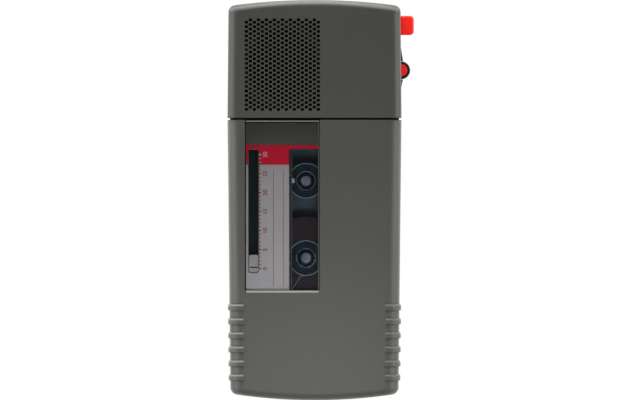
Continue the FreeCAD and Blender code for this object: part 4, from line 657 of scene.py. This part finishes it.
# %% Cassette plastics
cassette_grey = plastic("cassette_grey", (69, 69, 65), 0.4, 0.06, 2000.0, 0.00001, 0.1)
smoke_shell = plastic("smoke_shell", (36, 50, 57), 0.35, 0.08, 2000.0, 0.000008, 0.1)
pale_moulding = plastic("pale_moulding", (128, 132, 131), 0.4, 0.04, 2000.0, 0.00001, 0.2)
tape_wind = plastic("tape_wind", (68, 54, 56), 0.32, 0.1, 1500.0, 0.00001, 0.1)
felt_pad = plastic("felt_pad", (150, 120, 84), 0.95, 0.25, 6000.0, 0.00008)
dress(cassette_grey, "cassette_upper")
dress(pale_moulding, "index_pointer", "guide_roller_foot", "guide_roller_head")
dress(smoke_shell, "takeup_hub", "supply_hub")
dress(tape_wind, "tape_pack", "tape_run")
dress(felt_pad, "pressure_pad")

# %% [markdown]
# Inside the casing are the usual stuffs of a small machine: matt rubber that grips, a lacquered
# board with black parts, a paper cone, ferrite, and cells in a plain sleeve. They differ in
# colour, gloss and coarseness of grain, and the one plastic helper covers them all.

# %% Rubber, card and boards
matt_rubber = plastic("matt_rubber", (30, 30, 31), 0.8, 0.15, 3000.0)
board_lacquer = plastic("board_lacquer", (38, 92, 56), 0.3, 0.15, 900.0)
part_black = plastic("part_black", (36, 36, 38), 0.45, 0.1, 1600.0)
cone_paper = plastic("cone_paper", (46, 44, 42), 0.9, 0.3, 5000.0, 0.00006)
cell_sleeve = plastic("cell_sleeve", (70, 88, 108), 0.3, 0.05, 900.0, 0.000004)
ferrite = plastic("ferrite", (74, 74, 76), 0.6, 0.15, 2500.0)
dress(matt_rubber, "drive_belt", "idler_wheel", "pinch_roller", "microphone_boot")
dress(board_lacquer, "main_board")
dress(part_black, "board_parts", "record_switch", "slide_switch", "volume_control",
      "earphone_jack", "microphone", "speaker_frame", "drive_bushes")
dress(cone_paper, "speaker_cone")
dress(cell_sleeve, "battery_cells")
dress(ferrite, "speaker_magnet")

# %% [markdown]
# The tape drive is metal: steel pins and shafts, zinc-plated sheet and a brass pulley. The
# flywheel and the motor can are turned, so their rings are centred on their own axes.

# %% Metals
FLYWHEEL_AXIS = (0.0202, 0.008, 0.0)
MOTOR_AXIS = (-0.0165, -0.0255, 0.0)
bright_steel = metal("bright_steel", (196, 197, 200), 0.25)
zinc_sheet = metal("zinc_sheet", (186, 188, 190), 0.42)
yellow_brass = metal("yellow_brass", (206, 176, 104), 0.3)
wheel_steel = metal("wheel_steel", (190, 192, 196), 0.22, FLYWHEEL_AXIS)
motor_can = metal("motor_can", (178, 180, 184), 0.3, MOTOR_AXIS)
dress(bright_steel, "hinge_pins", "case_screws", "catch_springs", "key_spring", "battery_springs",
      "capstan_shaft", "drive_pivots", "record_head", "erase_head", "head_bracket")
dress(zinc_sheet, "chassis_plate", "flywheel_bracket", "pinch_arm", "idler_arm",
      "battery_contacts")
dress(yellow_brass, "motor_pulley")
dress(wheel_steel, "flywheel")
dress(motor_can, "motor")

# %% [markdown]
# The two drive spindles show through the hubs as pale, slightly grainy discs, because the camera
# looks onto their flat ends. The material asks how far a point is from the spindle's axis and
# turns dark beyond the end face, so their ribs and turntables are dark. The turned metal group is
# centred on each spindle in turn.

# %% Spindles
SPINDLE_FACE_RADIUS = 0.00178
SPINDLE_DRIFT = 0.7
SPINDLE_GRAIN = 1500.0


def top_centre(name):
    """The middle of the top of a node's box."""
    low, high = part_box(name)
    return (low[0] + high[0]) / 2, (low[1] + high[1]) / 2, high[2]


def spindle_finish(name, centre):
    """Pale turned metal on the end face, and dark metal round it."""
    made = metal(name, (158, 161, 166), 0.5, centre)
    tint = shader_of(made).inputs["Base Color"].links[0].from_node
    tint.inputs["Drift"].default_value = SPINDLE_DRIFT
    tint.inputs["Grain Scale"].default_value = SPINDLE_GRAIN
    tree = made.node_tree
    beyond = add_math(tree, "GREATER_THAN", reach_from_axis(tree, centre), SPINDLE_FACE_RADIUS)
    # Dark paint beyond the spindle's end face.
    paint_over(made, beyond, (30, 34, 37))
    return made


spindle_tops = {name: top_centre(name) for name in ("takeup_spindle", "supply_spindle")}
for spindle, (x, y, top) in spindle_tops.items():
    dress(spindle_finish(spindle + "_steel", (x, y, 0.0)), spindle)
    print(spindle, "top in mm:", [round(v / MM, 2) for v in (x, y, top)])

# %% [markdown]
# The floor of the cassette is covered by a thin liner sheet. Its pale blue grey is painted light:
# the smoked pane above it takes most of the light, so the sheet is painted paler to make up for
# it.
# Between the two reels it is greyer, as a band that is a soft range of the Y coordinate. Beside
# the pane, in the cassette's mouth and on its back there is no sheet, and the dark plastic shows
# as it is.

# %% Cassette floor
LINER_FOOT_Y = -0.0060
LINER_HEAD_Y = 0.0012
LINER_FADE = 0.0009
SHEET_FROM_X = -0.012
SHEET_TO_X = 0.007
SHEET_TO_Y = 0.0195
SHEET_ABOVE_BACK = 0.0007
# Painted light: the sheet's colour is paler to make up for the light that the pane takes.
cassette_floor = plastic("cassette_floor", (104, 124, 133), 0.35, 0.12, 2000.0, 0.000008, 0.1)
under_tree = cassette_floor.node_tree
under_x, under_y, under_z = object_axes(under_tree)
past_foot = add_range(under_tree, under_y, LINER_FOOT_Y - LINER_FADE, LINER_FOOT_Y + LINER_FADE,
                      0.0, 1.0, True)
before_head = add_range(under_tree, under_y, LINER_HEAD_Y - LINER_FADE, LINER_HEAD_Y + LINER_FADE,
                        1.0, 0.0, True)
sheet_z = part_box("cassette_lower")[0][2] + SHEET_ABOVE_BACK
on_sheet = multiply(under_tree,
                    add_math(under_tree, "GREATER_THAN", under_x, SHEET_FROM_X),
                    add_math(under_tree, "LESS_THAN", under_x, SHEET_TO_X),
                    add_math(under_tree, "LESS_THAN", under_y, SHEET_TO_Y),
                    add_math(under_tree, "GREATER_THAN", under_z, sheet_z))
paint_over(cassette_floor, multiply(under_tree, past_foot, before_head), (104, 113, 119))
paint_over(cassette_floor, add_math(under_tree, "SUBTRACT", 1.0, on_sheet), (30, 42, 44))
dress(cassette_floor, "cassette_lower")
print("liner band in mm:", LINER_FOOT_Y / MM, "to", LINER_HEAD_Y / MM)

# %% [markdown]
# Clear plastic needs two answers. A camera ray should bend, reflect and take a little tint. A
# shadow ray should pass almost freely, or the cassette would lie in the dark. The Light Path node
# tells them apart, so the pane is glass to the eye and nearly nothing to the light. Its gloss
# is broken by faint smears, as a thumb leaves them.

# %% Clear panes
PANE_IOR = 1.1
SMEAR_SCALE = 120.0
SMEAR_RANGE = (0.35, 0.7)
SMEAR_ROUGHNESS = 0.03


def clear_plastic(name, tint, shadow_tint, roughness):
    """A thin clear moulding that lets light through."""
    made, tree, shader = start_material(name)
    shader.inputs["Base Color"].default_value = (*tint, 1)
    shader.inputs["Transmission Weight"].default_value = 1.0
    shader.inputs["IOR"].default_value = PANE_IOR
    smear = add_noise(tree, object_point(tree), SMEAR_SCALE, 4.0)
    smeared = add_range(tree, smear, *SMEAR_RANGE, roughness, roughness + SMEAR_ROUGHNESS)
    tree.links.new(smeared, shader.inputs["Roughness"])
    passing = tree.nodes.new("ShaderNodeBsdfTransparent")
    passing.inputs["Color"].default_value = (*shadow_tint, 1)
    path = tree.nodes.new("ShaderNodeLightPath")
    mix = tree.nodes.new("ShaderNodeMixShader")
    out = next(n for n in tree.nodes if n.type == "OUTPUT_MATERIAL")
    tree.links.new(path.outputs["Is Shadow Ray"], mix.inputs["Fac"])
    tree.links.new(shader.outputs[0], mix.inputs[1])
    tree.links.new(passing.outputs[0], mix.inputs[2])
    tree.links.new(mix.outputs[0], out.inputs["Surface"])
    return made


window_pane = clear_plastic("window_pane", (0.93, 0.93, 0.93), (0.93, 0.93, 0.93), 0.0)
reel_pane = clear_plastic("reel_pane", (0.62, 0.66, 0.70), (0.72, 0.76, 0.80), 0.02)
dress(window_pane, "door_window")
dress(reel_pane, "reel_window")

# %% [markdown]
# The label is printed paper: silver grey, with a plain crimson band across its head. The border
# of the band is straight and square to the casing, so the paper's colour is chosen by the Y
# coordinate alone. The paper itself has a faint fibre grain.

# %% Label paper
BAND_EDGE_Y = 0.0127
SILVER = screen_colour(141, 139, 142)
CRIMSON = screen_colour(167, 20, 43)

label_paper, label_tree, label_shader = start_material("label_paper")
in_band = add_math(label_tree, "GREATER_THAN", object_axes(label_tree)[1], BAND_EDGE_Y)
label_shader.inputs["Specular IOR Level"].default_value = 0.12
paper = place_group(label_tree, moulded, Drift=0.05, Roughness=0.55, Grain_Scale=4000.0,
                    Grain_Depth=0.00001)
label_tree.links.new(add_mix(label_tree, in_band, SILVER, CRIMSON), paper.inputs["Colour"])
label_tree.links.new(paper.outputs["Colour"], label_shader.inputs["Base Color"])
label_tree.links.new(paper.outputs["Roughness"], label_shader.inputs["Roughness"])
label_tree.links.new(paper.outputs["Normal"], label_shader.inputs["Normal"])
dress(label_paper, "cassette_label")

# %% [markdown]
# Print on paper could be painted by a shader, but marks this fine stay sharper as thin meshes of
# ink. Bars are flat blocks. Figures start as a text curve, which is turned into a mesh before it
# is put in its place. Marks that belong together are gathered in one bmesh, as one piece.

# %% Ink helpers
INK_THICKNESS = 0.00002
FIGURE_WEIGHT = 0.00002
ink_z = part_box("cassette_label")[1][2] + INK_THICKNESS / 2
print("ink lies at", round(ink_z / MM, 3), "mm")


def add_block(target, middle, size, turn=0.0):
    """A block of the target bmesh, turned about its upright axis."""
    made = bmesh.ops.create_cube(target, size=1.0)["verts"]
    bmesh.ops.scale(target, verts=made, vec=size)
    bmesh.ops.rotate(target, verts=made, cent=(0, 0, 0), matrix=Matrix.Rotation(turn, 3, "Z"))
    bmesh.ops.translate(target, verts=made, vec=middle)


def ink_bar(target, x, y, length_x, length_y):
    """A flat bar of ink on the label, as part of the target bmesh."""
    add_block(target, (x, y, ink_z), (length_x, length_y, INK_THICKNESS))


def ink_figure(target, words, size, x, y):
    """A number, turned to read towards the head, as part of the target bmesh."""
    curve = bpy.data.curves.new("figure", "FONT")
    curve.body = words
    curve.size = size
    curve.align_x = "CENTER"
    curve.align_y = "CENTER"
    curve.extrude = INK_THICKNESS / 2
    curve.offset = FIGURE_WEIGHT
    text = bpy.data.objects.new("figure", curve)
    bpy.context.scene.collection.objects.link(text)
    graph = bpy.context.evaluated_depsgraph_get()
    mesh = bpy.data.meshes.new_from_object(text.evaluated_get(graph))
    mesh.transform(Matrix.Translation((x, y, ink_z)) @ Matrix.Rotation(math.pi / 2, 4, "Z"))
    target.from_mesh(mesh)
    bpy.data.objects.remove(text)
    bpy.data.curves.remove(curve)
    bpy.data.meshes.remove(mesh)


def finish_piece(name, shape, made, body):
    """Makes the bmesh an object of the scene that rides on a body."""
    mesh = bpy.data.meshes.new(name)
    shape.to_mesh(mesh)
    shape.free()
    mesh.materials.append(made)
    piece = bpy.data.objects.new(name, mesh)
    bpy.context.scene.collection.objects.link(piece)
    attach(piece, body)
    print(name, "on", body, "with", len(mesh.polygons), "faces")


# %% [markdown]
# Beside the slot runs a scale in minutes, from 0 at the foot to 30 at the head. Every minute has
# a tick, and every fifth a longer one and a number that reads along the casing. The ink is dark
# red on the silver and pale on the crimson band, so the marks make two pieces.

# %% Scale
SCALE_ZERO_Y = -0.02462
SCALE_FULL_Y = 0.01633
SCALE_MINUTES = 30
TICK_X = -0.0196
MINUTE_TICK = (0.00068, 0.00028)
FIFTH_TICK = (0.00096, 0.00042)
NUMBER_X = -0.0177
NUMBER_SIZE = 0.0021
minute_step = (SCALE_FULL_Y - SCALE_ZERO_Y) / SCALE_MINUTES
ink_red = plastic("ink_red", (122, 6, 30), 0.45, 0.05, shine=0.1)
ink_pale = plastic("ink_pale", (190, 156, 166), 0.45, 0.05, shine=0.1)
dark_marks = bmesh.new()
pale_marks = bmesh.new()
for minute in range(SCALE_MINUTES + 1):
    tick_y = SCALE_ZERO_Y + minute * minute_step
    marks = pale_marks if tick_y > BAND_EDGE_Y else dark_marks
    is_fifth = minute % 5 == 0
    ink_bar(marks, TICK_X, tick_y, *(FIFTH_TICK if is_fifth else MINUTE_TICK))
    if is_fifth:
        ink_figure(marks, str(minute), NUMBER_SIZE, NUMBER_X, tick_y)
finish_piece("scale_on_silver", dark_marks, ink_red, "door")
finish_piece("scale_on_band", pale_marks, ink_pale, "door")

# %% [markdown]
# The slot of the index is punched through the label, and its cut edge catches a little light all
# round. That light is painted as a highlight: four hair-thin bars frame the slot.

# %% Slot edge
SLOT_LEFT, SLOT_RIGHT = -0.02374, -0.02018
SLOT_FOOT, SLOT_HEAD = -0.02612, 0.01828
CUT_WIDTH = 0.00013
slot_middle_x, slot_middle_y = (SLOT_LEFT + SLOT_RIGHT) / 2, (SLOT_FOOT + SLOT_HEAD) / 2
cut_edge = bmesh.new()
for cut_x in (SLOT_LEFT, SLOT_RIGHT):
    ink_bar(cut_edge, cut_x, slot_middle_y, CUT_WIDTH, SLOT_HEAD - SLOT_FOOT)
for cut_y in (SLOT_FOOT, SLOT_HEAD):
    ink_bar(cut_edge, slot_middle_x, cut_y, SLOT_RIGHT - SLOT_LEFT, CUT_WIDTH)
# Painted highlight on the slot's cut edge.
cut_edge_highlight = plastic("cut_edge_highlight", (118, 112, 112), 0.5, 0.1, shine=0.1)
finish_piece("slot_edge", cut_edge, cut_edge_highlight, "door")

# %% [markdown]
# The free part of the label has two fine printed lines to write on. They run along the cassette,
# in the same ink as the scale.

# %% Writing lines
RULE_PLACES_X = (-0.0147, -0.0111)
RULE_FOOT_Y = -0.0312
RULE_HEAD_Y = 0.0105
RULE_WIDTH = 0.00014
rules = bmesh.new()
for rule_x in RULE_PLACES_X:
    ink_bar(rules, rule_x, (RULE_FOOT_Y + RULE_HEAD_Y) / 2, RULE_WIDTH, RULE_HEAD_Y - RULE_FOOT_Y)
finish_piece("writing_lines", rules, ink_red, "door")

# %% [markdown]
# The hubs are dark, and their polished rims show as fine bright circles. These are painted
# highlights: each is a thin pale ring. A bent wire or a turned groove would look the same from
# here, and a small circle of points, spun once round the hub's axis, is the lightest way. They
# ride on the reels.

# %% Hub rims
HUB_RIM_RADIUS = 0.0063
HUB_BORE_RIM_RADIUS = 0.0034
RIM_WIRE = 0.00009
BORE_WIRE = 0.00006
RIM_STEPS = 72
WIRE_SIDES = 10
UPRIGHT = Matrix.Rotation(math.pi / 2, 3, "X")
pale_clamp_and_rim_highlight = plastic("pale_clamp_and_rim_highlight", (222, 232, 238), 0.25, 0.1, shine=0.5)


def spun_ring(target, centre, radius, wire):
    """A closed ring round a vertical axis, as part of the target bmesh."""
    section = bmesh.ops.create_circle(target, segments=WIRE_SIDES, radius=wire)["verts"]
    bmesh.ops.rotate(target, verts=section, cent=(0, 0, 0), matrix=UPRIGHT)
    bmesh.ops.translate(target, verts=section, vec=(centre[0] + radius, centre[1], centre[2]))
    loop = list({edge for vert in section for edge in vert.link_edges})
    bmesh.ops.spin(target, geom=loop, cent=centre, axis=(0, 0, 1), angle=math.tau,
                   steps=RIM_STEPS, use_merge=True)


# Each hub gets two pale rings as painted highlights, on its rim and round its bore.
for hub, body in (("takeup_hub", "takeup_reel"), ("supply_hub", "supply_reel")):
    rims = bmesh.new()
    spun_ring(rims, top_centre(hub), HUB_RIM_RADIUS - RIM_WIRE, RIM_WIRE)
    spun_ring(rims, top_centre(hub), HUB_BORE_RIM_RADIUS, BORE_WIRE)
    bmesh.ops.recalc_face_normals(rims, faces=rims.faces)
    finish_piece(hub + "_rim_highlights", rims, pale_clamp_and_rim_highlight, body)

# %% [markdown]
# Round the pale end of each spindle sits a dark collar, which closes the gap to the hub. It is a
# small upright oblong of four edges, spun round the spindle's axis into a flat ring.

# %% Spindle collars
COLLAR_OUTER = 0.00245
COLLAR_DROP = 0.00085
COLLAR_THICKNESS = 0.0003
COLLAR_STEPS = 48
collar_width = COLLAR_OUTER - SPINDLE_FACE_RADIUS
collar_black = plastic("collar_black", (52, 58, 64), 0.4, 0.1, shine=0.3)
for spindle, (x, y, top) in spindle_tops.items():
    collar = bmesh.new()
    section = bmesh.ops.create_grid(collar, x_segments=1, y_segments=1, size=0.5)["verts"]
    bmesh.ops.scale(collar, verts=section, vec=(collar_width, COLLAR_THICKNESS, 1))
    bmesh.ops.rotate(collar, verts=section, cent=(0, 0, 0), matrix=UPRIGHT)
    bmesh.ops.translate(collar, verts=section,
                        vec=(x + SPINDLE_FACE_RADIUS + collar_width / 2, y, top - COLLAR_DROP))
    bmesh.ops.delete(collar, geom=list(collar.faces), context="FACES_ONLY")
    bmesh.ops.spin(collar, geom=list(collar.edges), cent=(x, y, top), axis=(0, 0, 1),
                   angle=math.tau, steps=COLLAR_STEPS, use_merge=True)
    bmesh.ops.recalc_face_normals(collar, faces=collar.faces)
    body = spindle.replace("spindle", "drive")
    finish_piece(spindle + "_collar", collar, collar_black, body)

# %% [markdown]
# The end of the tape is held in the empty hub by a small pale clamp. It is a block with rounded
# edges on the left of the hub, and it turns with the reel.

# %% Tape clamp
CLAMP_REACH = 0.0047
CLAMP_SIZE = (0.0012, 0.0016, 0.0003)
CLAMP_ROUNDING = 0.0001
hub_x, hub_y, hub_top = top_centre("takeup_hub")
clamp = bmesh.new()
add_block(clamp, (hub_x - CLAMP_REACH, hub_y, hub_top), CLAMP_SIZE)
bmesh.ops.bevel(clamp, geom=clamp.edges, offset=CLAMP_ROUNDING, segments=2, affect="EDGES",
                profile=0.5, material=-1)
finish_piece("tape_clamp", clamp, pale_clamp_and_rim_highlight, "takeup_reel")

# %% [markdown]
# A clear leader runs from the full reel to the corner of the cassette. Seen from the front it is
# a fine pale line with two bends, so three thin strips follow its course just under the pane.

# %% Leader tape
LEADER_POINTS = ((-0.0080, -0.0320), (-0.0071, -0.0307), (-0.0051, -0.0275), (-0.0033, -0.0270))
LEADER_WIDTH = 0.00016
LEADER_THICKNESS = 0.00003
LEADER_BELOW_PANE = 0.0002
leader_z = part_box("reel_window")[0][2] - LEADER_BELOW_PANE
leader = bmesh.new()
for start, end in zip(LEADER_POINTS, LEADER_POINTS[1:]):
    run = Vector(end) - Vector(start)
    add_block(leader, ((start[0] + end[0]) / 2, (start[1] + end[1]) / 2, leader_z),
              (run.length, LEADER_WIDTH, LEADER_THICKNESS), math.atan2(run.y, run.x))
leader_film = plastic("leader_film", (170, 182, 186), 0.3, 0.2, shine=0.4)
finish_piece("leader_tape", leader, leader_film, "door")

# %% [markdown]
# The index pointer is a pale block with one dark line across it, which is read against the scale.
# The line rides on the index, and so it moves with the pointer along the slot.

# %% Index line
INDEX_LINE_SIZE = (0.0032, 0.0004, INK_THICKNESS)
INDEX_LINE_LEAD = 0.0004
pointer_x, _, pointer_top = top_centre("index_pointer")
index_line = bmesh.new()
line_place = (pointer_x, SCALE_ZERO_Y + INDEX_LINE_LEAD, pointer_top + INK_THICKNESS / 2)
add_block(index_line, line_place, INDEX_LINE_SIZE)
finish_piece("index_line", index_line, soft_black, "index")

# %% [markdown]
# The clear pane is thick, and its edges are polished flats. Seen from the front they show as fine
# lines: pale along the head and the foot, where they face the lamps, grey on the right and dark
# on the left. These lines are painted highlights and painted shade, and thin shadows beside them
# are painted as dark lines as well. All are slim bars that lie on the pane's upper face, each
# given here by its left, right, foot and head, and they swing with the door.

# %% Pane edges
LINE_THICKNESS = 0.00004
LINE_ABOVE_PANE = 0.00003
HIGHLIGHT_LINES = ((-0.02462, 0.00162, 0.02822, 0.02858), (-0.0247, 0.0016, -0.03335, -0.03255))
GREY_LINES = ((0.00126, 0.0018, -0.0325, 0.0281),)
SHADE_LINES = ((-0.0251, -0.0247, -0.0333, 0.0285), (-0.0247, 0.0012, 0.02775, 0.0281),
              (0.00182, 0.00205, -0.0333, 0.0284))
pane_line_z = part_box("door_window")[1][2] + LINE_ABOVE_PANE
# Pale bars are painted highlights, and dark bars are painted shade.
pale_edge = plastic("pale_edge", (176, 177, 171), 0.3, 0.12, 900.0, 0.00001, 0.3)
grey_edge = plastic("grey_edge", (84, 85, 80), 0.35, 0.12, 900.0, 0.00001, 0.3)
smoke_edge = plastic("smoke_edge", (64, 72, 75), 0.35, 0.25, 900.0, 0.00001, 0.2)
dark_edge = plastic("dark_edge", (22, 22, 20), 0.5, 0.1, shine=0.1)
for name, tone, lines in (("pane_edge_highlights", pale_edge, HIGHLIGHT_LINES),
                          ("pane_grey_edge", grey_edge, GREY_LINES),
                          ("pane_edge_shade", dark_edge, SHADE_LINES)):
    bars = bmesh.new()
    for left, right, foot, head in lines:
        add_block(bars, ((left + right) / 2, (foot + head) / 2, pane_line_z),
                  (right - left, head - foot, LINE_THICKNESS))
    finish_piece(name, bars, tone, "door")

# %% [markdown]
# The smoked pane over the reels has such an edge too. On its left a dark line of painted shade and
# a paler one of painted highlight lie side by side, between the label and the reels. They are the
# same kind of bars, on that pane.

# %% Reel pane edge
REEL_EDGE_SIZE = (0.00036, 0.0502, 0.00003)
REEL_EDGE_Y = -0.0073
REEL_EDGE_DARK_X = -0.00866
REEL_EDGE_PALE_X = -0.0083
REEL_EDGE_ABOVE_PANE = 0.00002
reel_edge_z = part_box("reel_window")[1][2] + REEL_EDGE_ABOVE_PANE
for name, tone, x in (("reel_pane_edge_shade", dark_edge, REEL_EDGE_DARK_X),
                      ("reel_pane_edge_highlight", smoke_edge, REEL_EDGE_PALE_X)):
    edge_line = bmesh.new()
    add_block(edge_line, (x, REEL_EDGE_Y, reel_edge_z), REEL_EDGE_SIZE)
    finish_piece(name, edge_line, tone, "door")

# %% [markdown]
# The last step names any node of the frame that has been left without a finish.

# %% Unfinished nodes
for name, node in nodes.items():
    if not node.material_slots:
        print("no finish on", name)
